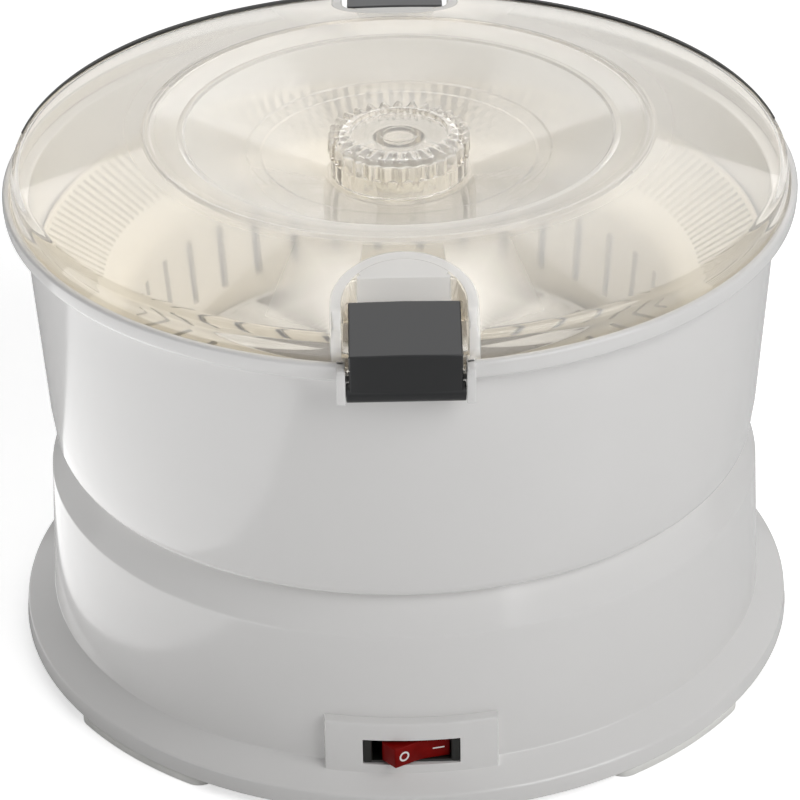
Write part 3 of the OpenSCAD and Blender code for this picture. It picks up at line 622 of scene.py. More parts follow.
def rounded_box(low: tuple, high: tuple, corner: float, bevel: float) -> Skin:
    """A box with round corners seen from above and rounded rims.

    Args:
        low: Lowest corner.
        high: Highest corner.
        corner: Radius of the upright edges.
        bevel: Radius of the rims.

    Returns:
        The closed skin.
    """
    (x0, y0, z0), (x1, y1, z1) = low, high
    outline = rounded([(x0, y0, corner), (x1, y0, corner), (x1, y1, corner), (x0, y1, corner)],
                      steps=4)
    return slab(outline, z0, z1, bevel)


def fit(made: bpy.types.Object, body: Body, finish: Finish, *nodes: str) -> None:
    """Dress a piece, let it ride on its body and let it stand for its nodes.

    Args:
        made: The piece.
        body: The body that carries it.
        finish: Its finish.
        nodes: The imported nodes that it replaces.
    """
    made.data.materials.clear()
    made.data.materials.append(finish.material())
    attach(made, body.value)
    finish.slot
    if nodes:
        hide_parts(*nodes)
    LOG.info("%s rides on %s: %d faces", made.name, body.value, len(made.data.polygons))


def spots_of(made: bpy.types.Object) -> np.ndarray:
    """The x, y and z of a piece's vertices, in millimetres.

    Args:
        made: The piece.

    Returns:
        Three rows of values.
    """
    spots = np.empty(len(made.data.vertices) * 3)
    made.data.vertices.foreach_get("co", spots)
    return spots.reshape(-1, 3).T / MM


def frost(made: bpy.types.Object, level: np.ndarray) -> None:
    """Write how milky a clear piece is at each vertex, from 0 to 1."""
    layer = made.data.attributes.new("frost", "FLOAT", "POINT")
    layer.data.foreach_set("value", level)


# ---------------------------------------------------------------- motor base


@dataclass
class MotorBase:
    """The white base: turned shell with its switch pad, and what is fastened to it."""

    flange_r: float = 129.5
    foot_h: float = 3.0
    flange_edge: tuple[float, float] = (128.9, 8.7)
    wall_foot: tuple[float, float] = (119.5, 15.0)
    shoulder_edge: tuple[float, float] = (117.4, 60.3)
    deck_z: float = 66.0
    recess_r: float = 110.4
    wall: float = 2.5
    pad_half: float = 27.5
    pad_r: float = 122.3
    pad_low: float = 11.0
    pad_high: float = 31.6
    hole_half_w: float = 15.2
    hole_low: float = 16.2
    hole_high: float = 25.4
    boss_r: float = 11.0
    boss_z: float = 24.0
    boss_y: float = 121.5
    drip_r: float = 12.5
    tower_r: float = 9.5
    tower_low: float = 58.8
    tower_top: float = 78.0
    bore_r: float = 6.05
    post_r: float = 5.0
    post_at: float = 107.5
    foot_in_r: float = 118.0
    foot_out_r: float = 129.3
    foot_sweep: float = 21.5
    # How far the pad has risen at a depth below its top
    PAD_TOP = ((-0.1, 0.0), (0.02, 0.84), (0.1, 0.9), (0.25, 0.955), (0.5, 0.985), (0.8, 1.0))

    @property
    def hole_rows(self) -> list[float]:
        """Heights of the wall's rows over the switch opening, from its lower to its upper edge."""
        return np.linspace(self.hole_low, self.hole_high, 5).tolist()

    def wall_r(self, z: float) -> float:
        """Radius of the straight wall at a height."""
        (low_r, low_z), (high_r, high_z) = self.wall_foot, self.shoulder_edge
        return low_r + (high_r - low_r) * (z - low_z) / (high_z - low_z)

    def outer_side(self) -> list[Triple]:
        """Corners of the outside: flange, its sloping top, wall, shoulder and its recess.

        Returns:
            The corners as (radius, height, rounding).
        """
        shoulder_z = self.deck_z + 6.4
        edge, foot = np.array(self.flange_edge), np.array(self.wall_foot)
        slope = [(*(edge + (foot - edge) * t), 0.0) for t in (0.2, 0.45, 0.64, 0.70, 0.76)]
        depths = [depth for depth, _ in self.PAD_TOP[::-1]]
        pad_rows = [self.pad_high - depth for depth in (1.6, *depths, -0.4)]
        return [
            (self.flange_r, self.foot_h, 0.4), (*edge, 1.3), *slope, (*foot, 0.6),
            *[(self.wall_r(z), z, 0.0)
              for z in (*self.hole_rows, 27.4, 28.8, *pad_rows, 36.0, 42.0, 48.0, 54.0)],
            (*self.shoulder_edge, 2.4),
            (111.2, shoulder_z - 0.1, 0.5), (self.recess_r + 0.3, shoulder_z - 0.1, 0.2),
            (self.recess_r, shoulder_z - 0.9, 0.2),
        ]

    def deck_side(self) -> list[Triple]:
        """Corners over the recess floor, the drip ring and the shaft tower, and back below.

        Returns:
            The corners as (radius, height, rounding).
        """
        deck, under = self.deck_z, self.deck_z - self.wall
        return [
            (self.recess_r, deck, 0.8), (self.drip_r, deck, 0.4), (self.drip_r, deck + 0.6, 0.2),
            (self.tower_r, deck + 0.6, 0.4), (self.tower_r, self.tower_top, 0.5),
            (self.bore_r, self.tower_top, 0.2), (self.bore_r, self.tower_low, 0.2),
            (self.tower_r, self.tower_low, 0.4), (self.tower_r, under, 0.8), (113.2, under, 0.8),
        ]

    def inner_side(self) -> list[Triple]:
        """Corners of the inside from under the deck down to the seat of the cover.

        Returns:
            The corners as (radius, height, rounding).
        """
        t, seat_r = self.wall, 126.6
        return [
            (self.wall_r(59.7) - t, 59.7, 0.8),
            *[(self.wall_r(z) - t, z, 0.0) for z in (54.0, 36.0, *self.hole_rows[::-1])],
            (self.wall_foot[0] - t, 13.7, 0.8), (self.flange_edge[0] - t, 7.4, 0.4),
            (seat_r, 6.0, 0.0), (seat_r, self.foot_h, 0.2),
        ]

    def angles(self) -> np.ndarray:
        """Column angles: even all round, and finer at the pad, its hole and the boss.

        Returns:
            The angles, rising from 0.
        """
        pad = np.arcsin((self.pad_half + np.array([-1.1, -0.7, -0.35, 0.0, 0.35])) / self.pad_r)
        hole = math.asin(self.hole_half_w / self.pad_r)
        front = np.concatenate([pad, -pad, np.linspace(-hole, hole, 13)]) - QUARTER
        boss = np.linspace(-0.1, 0.1, 37) + QUARTER
        return columns(COLUMNS, np.concatenate([front, boss]), 0.004)

    def shell(self) -> Skin:
        """The turned shell with the raised pad, its hole and the flat boss of the cord outlet.

        The outside's radius grows to pad_r by smooth steps at the pad's sides and top, and to the
        plane y = boss_y inside the boss's circle.

        Returns:
            The closed skin.
        """
        outline = rounded(self.outer_side() + self.deck_side() + self.inner_side(), steps=5)
        outer_rows = int(np.argmin(np.abs(outline - (self.recess_r, self.deck_z)).sum(1)))
        turning = Turning(outline, self.angles())
        r, z, angle = turning.grid()
        x, y = r * np.cos(angle), r * np.sin(angle)
        outside = np.arange(len(outline))[:, None] < outer_rows
        side = smooth((self.pad_half + 0.35 - np.abs(self.pad_r * np.cos(angle))) / 1.1)
        rise = (np.interp(self.pad_high - z, *zip(*self.PAD_TOP))
                * smooth((z - self.pad_low) / 1.5))
        pad = np.where(outside & (y < 0), side * rise, 0.0)
        grown = np.maximum(r, r + (self.pad_r - r) * pad)
        off = np.hypot(x, z - self.boss_z)
        boss = np.where(outside & (y > 0), smooth((self.boss_r + 0.4 - off) / 0.9), 0.0)
        grown = grown + np.maximum(self.boss_y / np.maximum(np.sin(angle), 0.5) - grown, 0) * boss
        turning.windows.append(self.hole(outline, turning.angles))
        return turning.skin(radius=grown)

    def hole(self, outline: np.ndarray, angles: np.ndarray) -> Window:
        """The switch opening through the wall.

        Args:
            outline: The turned outline.
            angles: The column angles.

        Returns:
            The window between the rows at the opening's lower and upper edge.
        """
        low = np.flatnonzero(np.isclose(outline[:, 1], self.hole_low))
        high = np.flatnonzero(np.isclose(outline[:, 1], self.hole_high))
        first, last, mate = low[0], high[0], high[-1]
        middle = (angles + np.roll(angles, -1)) / 2
        front = (np.abs(self.pad_r * np.cos(middle)) < self.hole_half_w) & (np.sin(middle) < 0)
        return Window(int(first), int(last), int(mate), front)

    def lugs(self) -> list[Skin]:
        """Three low lugs on the deck that key the bowl."""
        lug = rounded_box((103.5, -6, self.deck_z - 1), (108.5, 6, self.deck_z + 2.6), 1.2, 0.5)
        return [lug.turned(a) for a in (30, 150, 270)]

    def bosses(self) -> list[Skin]:
        """Four screw posts and four ribs under the deck.

        Returns:
            The posts and the ribs.
        """
        post = slab(polar(self.post_r, circle_of(32)) + (self.post_at, 0), 5.4,
                    self.deck_z - 1.2, 0.3)
        rib = rounded_box((52, -1, 55.5), (112.5, 1, self.deck_z - 1.2), 0.4, 0.3)
        return [piece.turned(start + k) for piece, start in ((post, 15), (rib, 45))
                for k in (0, 90, 180, 270)]

    def pads(self) -> Skin:
        """Four curved foot pads: an arc's two sides with a half circle at each end.

        Returns:
            The closed skin.
        """
        sweep = math.radians(self.foot_sweep)
        mid, half = (self.foot_in_r + self.foot_out_r) / 2, (self.foot_out_r - self.foot_in_r) / 2
        cap = np.linspace(0, math.pi, 13)
        arc = np.linspace(0, sweep, 40)[1:-1]
        outline = np.concatenate([
            polar(self.foot_out_r, arc), polar(mid, sweep) + polar(half, sweep + cap),
            polar(self.foot_in_r, arc[::-1]), (mid, 0) - polar(half, cap)])
        pad = slab(outline, 0.0, self.foot_h, 0.5)
        return Skin.joined([pad.turned(a) for a in (303, 215.5, 123, 35.5)])

    def gland(self) -> Skin:
        """Round cord gland with a stepped nose, turned about the cord's line.

        Returns:
            The closed skin.
        """
        outline = rounded([(3.8, -16, 0.3), (6.2, -16, 0.4), (6.2, 0, 0), (9, 0, 0.3),
                           (9, 3, 0.8), (8, 3.2, 0.3), (6.4, 6, 0.7), (3.8, 6, 0.5)], steps=5)
        nose = Turning(outline, circle_of(72)).skin().stood(((1, 0, 0), (0, 0, -1), (0, 1, 0)))
        return nose.moved((0, self.boss_y, self.boss_z))

    def build(self) -> None:
        """Make and place the base's pieces."""
        shell = Skin.joined([self.shell(), *self.lugs(), *self.bosses()]).build("base_shell")
        fit(shell, Body.BASE, Finish.SHELL, "base_housing")
        fit(self.pads().build("curved_foot_pads"), Body.BASE, Finish.PAD, "foot_pads")
        fit(self.gland().build("cord_gland_nose"), Body.BASE, Finish.FRAME, "cord_gland")


@dataclass
class Switch:
    """The rocker switch in the base's front: black frame, red rocker and its two legends."""

    centre_z: float = 20.8
    face_y: float = -121.0
    pivot_y: float = -113.8
    tilt: float = 22.0
    rocker_half_h: float = 3.5
    end_x: float = 9.2
    crown: float = 9.2
    dip: float = 7.8

    def body(self) -> Skin:
        """The frame: a rounded bezel that runs back into its box, around the rocker's slot.

        Five rounded rectangles, each given by half width, half height, corner and depth, are
        joined in turn: back, outer rim, bezel, slot mouth and slot floor.

        Returns:
            The closed skin.
        """
        loops = [
            (14.2, 4.4, 0.3, 15.0), (14.2, 4.4, 0.3, 1.8), (15.0, 4.4, 0.4, 1.6),
            (15.0, 4.4, 0.4, 0.3), (14.8, 4.2, 0.4, 0.0), (12.6, 4.05, 0.3, 0.0),
            (12.3, 3.75, 0.3, 0.35), (12.3, 3.75, 0.3, 11.5),
        ]
        rings = [np.insert(rounded([(-w, -h, c), (w, -h, c), (w, h, c), (-w, h, c)], steps=4),
                           1, depth, axis=1) for w, h, c, depth in loops]
        return Skin.lofted(np.stack(rings)).moved((0, self.face_y, self.centre_z))

    def tilted(self, skin: Skin) -> Skin:
        """A skin drawn about the pivot and taken to the rocker's rest tilt."""
        return skin.turned(self.tilt).moved((0, self.pivot_y, self.centre_z))

    def rocker(self) -> Skin:
        """The rocker: a bow-tie outline seen along its pivot, with softened rims.

        Returns:
            The closed skin.
        """
        end, crown = self.end_x, self.crown
        outline = rounded([(-end, -crown, 0.5), (0, -self.dip, 12), (end, -crown, 0.5),
                           (11.3, -3, 1), (5, 2.2, 1), (-5, 2.2, 1), (-11.3, -3, 1)], steps=6)
        return self.tilted(slab(outline, -self.rocker_half_h, self.rocker_half_h, 0.35))

    def legends(self) -> Skin:
        """A ring on the left end and a bar on the right, a little proud of the rocker's face.

        Returns:
            The closed skin.
        """
        low, high = -0.12, 0.06
        rim = np.array([[1.75, low], [1.75, high], [1.15, high], [1.15, low]])
        ring = Turning(rim, circle_of(48)).skin()
        bar = rounded_box((-1.9, -0.22, low), (1.9, 0.22, high), 0.15, 0.03)
        lean = math.atan2(self.crown - self.dip, self.end_x)
        done = []
        for skin, x, side in ((ring, -6.0, -1), (bar, 5.6, 1)):
            flat = skin.stood(((1, 0, 0), (0, 0, 1), (0, -1, 0))).turned(-side * math.degrees(lean))
            done.append(self.tilted(flat.moved((x, -self.dip - abs(x) * math.tan(lean), 0))))
        return Skin.joined(done)

    def build(self) -> None:
        """Make and place the switch's pieces."""
        fit(self.body().build("switch_bezel"), Body.BASE, Finish.FRAME, "switch_body")
        fit(self.rocker().build("red_rocker"), Body.ROCKER, Finish.LENS, "switch_rocker")
        fit(self.legends().build("rocker_legends"), Body.ROCKER, Finish.LEGEND)


# ---------------------------------------------------------------- bowl, drum and disc


@dataclass
class Bowl:
    """The lift-off white bowl with its rim, clip notches and ears."""

    foot_r: float = 109.9
    deck_z: float = 66.0
    rim_r: float = 127.0
    rim_z: float = 161.5
    ledge_z: float = 157.6
    rebate_r: float = 124.7
    floor_z: float = 71.5
    wall: float = 2.5
    chimney_r: float = 11.0
    chimney_t: float = 2.2
    chimney_top: float = 95.0
    notch_half: float = 17.6
    notch_low: float = 150.0
    ear_t: float = 2.6
    pin_r: float = 127.6
    pin_z: float = 153.6

    def outline(self) -> np.ndarray:
        """The bowl's section: outside up to the rim, ledge, inside, chimney and underside.

        Returns:
            The outline's points, one row each.
        """
        under, sleeve_r = self.floor_z - self.wall, self.chimney_r + self.chimney_t
        corners = [
            (self.foot_r, self.deck_z, 0.5), (self.foot_r, 72.4, 0.3),
            *curve((111.4, 73.0), (114.7, 73.2), (115.4, 77.0), 10),
            (116.6, 86.6, 0), (118.1, 110.0, 0), (119.4, 130.0, 0), (120.5, 148.0, 0),
            (120.6, self.notch_low, 0),
            *curve((120.8, 152.0), (121.2, 155.2), (124.4, 155.4), 10),
            *curve((125.4, 155.5), (126.6, 155.7), (self.rim_r - 0.2, 157.0), 6),
            (self.rim_r, 159.0, 0), (self.rim_r, self.rim_z, 1.1),
            (self.rebate_r, self.rim_z, 0.5), (self.rebate_r, self.ledge_z, 0.4),
            (118.6, self.ledge_z, 0.6), (118.2, 150.0, 0), (117.1, 130.0, 0),
            (115.9, 110.0, 0), (114.6, 90.0, 0),
            *curve((113.8, 82.0), (112.6, self.floor_z + 1), (104.0, self.floor_z), 12),
            (sleeve_r, self.floor_z, 1.5), (sleeve_r, self.chimney_top, 0.7),
            (self.chimney_r, self.chimney_top, 0.7), (self.chimney_r, under - 2, 0.3),
            (sleeve_r, under - 2, 0.3), (sleeve_r, under, 0.5),
            (107.4, under, 0.8), (107.4, self.deck_z, 0.4),
        ]
        return rounded(corners, steps=5)

    def shell(self) -> Skin:
        """The turned bowl, cut flat behind the clips.

        In a notch's columns no point above notch_low lies beyond the plane |y| = rebate_r, and
        the collar above the ledge sinks to the ledge.

        Returns:
            The closed skin.
        """
        half = math.asin(self.notch_half / self.rebate_r)
        spots = np.append(np.linspace(0, half, 11), half + 2e-4)
        turning = Turning(self.outline(), columns(COLUMNS, both_ends(spots), 0.003))
        r, z, angle = turning.grid()
        notch = (np.abs(np.cos(angle)) <= math.sin(half) + 1e-6) & (z > self.notch_low + 0.05)
        plane = self.rebate_r / np.maximum(np.abs(np.sin(angle)), 0.5)
        cut = notch & (r > self.rebate_r - 0.6)
        height = np.where(cut, np.minimum(z, self.ledge_z), z)
        return turning.skin(radius=np.where(notch, np.minimum(r, plane), r), height=height)

    def ears(self) -> list[Skin]:
        """Two upright ears beside each clip, with round lower corners, bored by the pin.

        Returns:
            The four ears.
        """
        outline = rounded([(-130.8, 150.2, 2.2), (-119.0, 150.2, 0.5), (-119.0, self.rim_z, 0.3),
                           (-130.8, self.rim_z, 1.6)], steps=5)
        ear = slab(outline, 0.0, self.ear_t, 0.35).stood(UPRIGHT)
        pair = [ear.moved((x, 0, 0)) for x in (self.notch_half, -self.notch_half - self.ear_t)]
        return [ear.turned(side.value) for side in Side for ear in pair]

    def pins(self) -> Skin:
        """The two pins, each with chamfered ends that show in the ears.

        Returns:
            The closed skin.
        """
        reach = self.notch_half + self.ear_t
        profile = rounded([(0.0, -reach, 0), (1.3, -reach, 0.25), (1.3, reach, 0.25),
                           (0.0, reach, 0)], steps=3)
        rod = Turning(profile, circle_of(24)).skin().stood(UPRIGHT)
        lying = rod.moved((0, -self.pin_r, self.pin_z))
        return Skin.joined([lying.turned(side.value) for side in Side])

    def build(self) -> None:
        """Make and place the bowl's pieces."""
        shell = Skin.joined([self.shell(), *self.ears()]).build("bowl_shell")
        fit(shell, Body.BOWL, Finish.SHELL, "bowl")
        fit(self.pins().build("clip_pin_rods"), Body.BOWL, Finish.STEEL, "clip_pins")


@dataclass
class Drum:
    """The cream drum: a slotted funnel collar over a slotted upright wall."""

    collar_r: float = 116.6
    collar_z: float = 138.0
    throat_r: float = 88.0
    throat_z: float = 121.5
    foot_r: float = 85.2
    foot_z: float = 74.0
    wall: float = 2.0
    sectors: int = 36
    slots_per_sector: int = 5
    slot_w: float = 1.5
    slot_len: float = 21.4
    wall_slot_w: float = 3.0

    def outline(self) -> tuple[np.ndarray, list[int]]:
        """The drum's section and the rows that bound its slots.

        Returns:
            The outline, and its rows (inner collar slot end and start, wall slot top and foot,
            then the mates on the outside in the same order).
        """
        slope = math.atan2(self.collar_z - self.throat_z - 3.0, self.collar_r - self.throat_r - 7)
        along = polar(1.0, slope)
        back = self.wall * np.array([math.sin(slope), -math.cos(slope)])
        start = np.array([self.throat_r + 8.6, self.throat_z + 4.0])
        end = start + along * self.slot_len
        high_in = np.array([self.throat_r - 0.2, self.throat_z - 12])
        low_in = np.array([self.foot_r + 0.5, self.foot_z + 12])
        high_out, low_out = high_in + (self.wall, 0), low_in + (self.wall, 0)
        outer_throat, outer_foot = self.throat_r + self.wall, self.foot_r + self.wall
        corners = [
            (self.collar_r - 1.4, self.collar_z, 0.5), (*end, 0), (*start, 0),
            *curve((self.throat_r + 5.8, self.throat_z + 2.4),
                   (self.throat_r + 0.3, self.throat_z - 1.0),
                   (self.throat_r, self.throat_z - 7), 8),
            (*high_in, 0), (*low_in, 0), (self.foot_r, self.foot_z, 0.6),
            (outer_foot, self.foot_z, 0.6), (*low_out, 0), (*high_out, 0),
            *curve((outer_throat, self.throat_z - 7), (outer_throat + 0.6, self.throat_z - 1.6),
                   tuple(start + back + (-2.6, -1.5)), 8),
            (*(start + back), 0), (*(end + back), 0),
            (self.collar_r, self.collar_z - 2.2, 0.5), (self.collar_r, self.collar_z, 0.5)]
        outline = rounded(corners, steps=4)
        bounds = [end, start, high_in, low_in, end + back, start + back, high_out, low_out]
        return outline, [int(np.argmin(np.abs(outline - spot).sum(1))) for spot in bounds]

    def skin(self) -> Skin:
        """The slotted drum. Every sector has the same columns, at the edges of its slots.

        Returns:
            The closed skin.
        """
        outline, rows = self.outline()
        sector = FULL_TURN / self.sectors
        pitch = sector / self.slots_per_sector
        middles = (np.arange(self.slots_per_sector) + 0.5) * pitch
        half = self.slot_w / 2 / (self.throat_r + 18)
        wide = self.wall_slot_w / 2 / self.throat_r
        wall_mid = sector / 2
        edges = np.concatenate([middles - half, middles + half, wall_mid + np.array([-wide, wide]),
                                [0.0]])
        cell = np.unique(np.round(edges, 9))
        angles = (np.arange(self.sectors)[:, None] * sector + cell).ravel()
        middle = (angles + np.append(angles[1:], FULL_TURN)) / 2
        local = middle % sector
        in_slot = (np.abs(local[:, None] - middles) < half).any(1)
        in_wall = np.abs(local - wall_mid) < wide
        windows = [Window(rows[0], rows[1], rows[5], in_slot),
                   Window(rows[2], rows[3], rows[7], in_wall)]
        return Turning(outline, angles, windows).skin()

    def build(self) -> None:
        """Make and place the drum."""
        fit(self.skin().build("slotted_drum"), Body.BOWL, Finish.DRUM, "peel_drum")


@dataclass
class Disc:
    """The turning disc: eight tossing waves, grit between them, and the hub with its screws."""

    rim_r: float = 82.0
    bore_r: float = 13.9
    low_z: float = 77.0
    thick: float = 3.0
    waves: int = 8
    wave_h: float = 3.4
    grit_t: float = 0.8
    flange_r: float = 24.0
    hub_r: float = 16.2
    hub_top: float = 101.0
    grit_in_r: float = 27.0
    grain_h: float = 0.55
    driver_r: float = 6.9

    def plate(self) -> Skin:
        """The disc with its raised waves.

        The top rises by wave_h * bump(arc) * ends(radius): bump is a rounded ridge 14 mm wide
        about each wave's line, and ends fades it in at the hub and out at the rim.

        Returns:
            The closed skin.
        """
        top = self.low_z + self.thick
        radii = np.linspace(self.rim_r - 0.8, self.flange_r + 1, 42)
        corners = ([(self.rim_r, self.low_z, 0.5), (self.rim_r, top, 0.7)]
                   + [(x, top, 0.0) for x in [*radii, self.flange_r]]
                   + [(self.flange_r, top + 2, 0.3), (self.bore_r, top + 2, 0.2),
                      (self.bore_r, self.low_z - 1, 0.2), (self.flange_r, self.low_z - 1, 0.3),
                      (self.flange_r, self.low_z, 0.2)])
        turning = Turning(rounded(corners, steps=4), circle_of(480))
        r, z, angle = turning.grid()
        step = FULL_TURN / self.waves
        arc = np.abs((angle + step / 2) % step - step / 2) * r
        ends = smooth((r - 29.5) / 4) * smooth((self.rim_r - 3.0 - r) / 4)
        bump = smooth((7.2 - arc) / 5.6)
        raised = np.isclose(z, top) & (r > self.flange_r + 0.5)
        return turning.skin(height=np.where(raised, z + self.wave_h * bump * ends, z))

    def grit(self) -> Skin:
        """Eight grit-coated sectors, each a thin plate whose top is roughened grain by grain.

        Returns:
            The closed skin.
        """
        rng = np.random.default_rng(7)
        low = self.low_z + self.thick + 0.02
        rows, cols = 92, 74
        t = np.linspace(0, 1, rows)[:, None]
        s = np.linspace(-1, 1, cols)[None]
        radius = self.grit_in_r + (self.rim_r - 2.2 - self.grit_in_r) * t
        half = math.pi / self.waves - 7.9 / radius
        edge = np.minimum(np.minimum(t, 1 - t) * rows, (1 - np.abs(s)) * cols / 2)
        index = np.arange(rows * cols).reshape(rows, cols)
        cells = np.stack([index[:-1, :-1], index[:-1, 1:], index[1:, 1:], index[1:, :-1]], -1)
        rim = np.concatenate([index[0], index[1:, -1], index[-1, -2::-1], index[-2:0:-1, 0]])
        sectors = []
        for k in range(self.waves):
            angle = (k + 0.5) * FULL_TURN / self.waves + s * half
            grain = rng.uniform(0.0, self.grain_h, (rows, cols))
            height = low + np.where(edge < 0.5, 0.0, self.grit_t - self.grain_h + grain)
            upper = np.dstack([polar(radius, angle), height])
            sectors.append(Skin(upper.reshape(-1, 3), [cells.reshape(-1, 4), rim[::-1][None]]))
        return Skin.joined(sectors)

    def hub(self) -> Skin:
        """The hub: a domed post on a flange, hollow below for the drive head.

        Returns:
            The closed skin.
        """
        under, top, inner_top = self.low_z + self.thick + 2, self.hub_top, self.hub_top - 3
        outline = rounded([
            (0.0, top + 2, 0), (11, top + 2, 1.2), (14.2, top, 0.8), (self.hub_r, top, 0.9),
            (self.hub_r, under + 2.4, 1.4), (self.flange_r, under + 2, 0.6),
            (self.flange_r, under, 0.2), (self.bore_r, under, 0.2), (self.bore_r, inner_top, 0.3),
            (9.8, inner_top, 0.3), (9.8, 84.0, 0.2), (self.driver_r, 84.0, 0.2),
            (self.driver_r, inner_top, 0.2), (0.0, inner_top, 0)], steps=5)
        return Turning(outline, circle_of(120)).skin()

    def screws(self) -> Skin:
        """Three round-headed screws that hold the hub, each with a driver's cross."""
        screw = screw_head(2.6, 1.4).moved((19, 0, self.low_z + self.thick + 4))
        return Skin.joined([screw.turned(a) for a in (0, 120, 240)])

    def build(self) -> None:
        """Make and place the disc's pieces."""
        fit(self.plate().build("waved_disc"), Body.DISC, Finish.SHELL, "peeling_disc")
        fit(self.grit().build("grit_sectors"), Body.DISC, Finish.GRIT, "abrasive_sheet")
        fit(self.hub().build("disc_hub_cap"), Body.DISC, Finish.SHELL, "disc_hub")
        fit(self.screws().build("hub_screw_heads"), Body.DISC, Finish.STEEL, "hub_screws")


def screw_head(radius: float, height: float) -> Skin:
    """A domed screw head with a cross recess, on a short shank, its seat at z = 0.

    The dome's height is height * sqrt(1 - (r / radius)^2 * 0.8), less the cross, which is a pair
    of slots 0.28 radius wide and 0.55 radius long.

    Args:
        radius: Radius of the head.
        height: Height of the head.

    Returns:
        The closed skin.
    """
    rows, shank_r, shank_low = 22, 1.5, -6.5
    outline = np.array([*((r, 0.0) for r in np.linspace(0.0, radius, rows)), (radius, 0.0),
                        (shank_r, 0.0), (shank_r, shank_low), (0.0, shank_low)])
    turning = Turning(outline, circle_of(64))
    r, z, angle = turning.grid()
    x, y = np.abs(polar(r, angle)).transpose(2, 0, 1)
    narrow, wide = np.minimum(x, y), np.maximum(x, y)
    cross = (smooth((0.2 * radius - narrow) / (0.12 * radius))
             * smooth((0.6 * radius - wide) / (0.12 * radius)))
    dome = height * np.sqrt(1 - 0.8 * (r / radius) ** 2) - 0.5 * height * cross
    top = np.arange(len(outline))[:, None] < rows
    return turning.skin(height=np.where(top, dome, z))


# ---------------------------------------------------------------- lid and knob


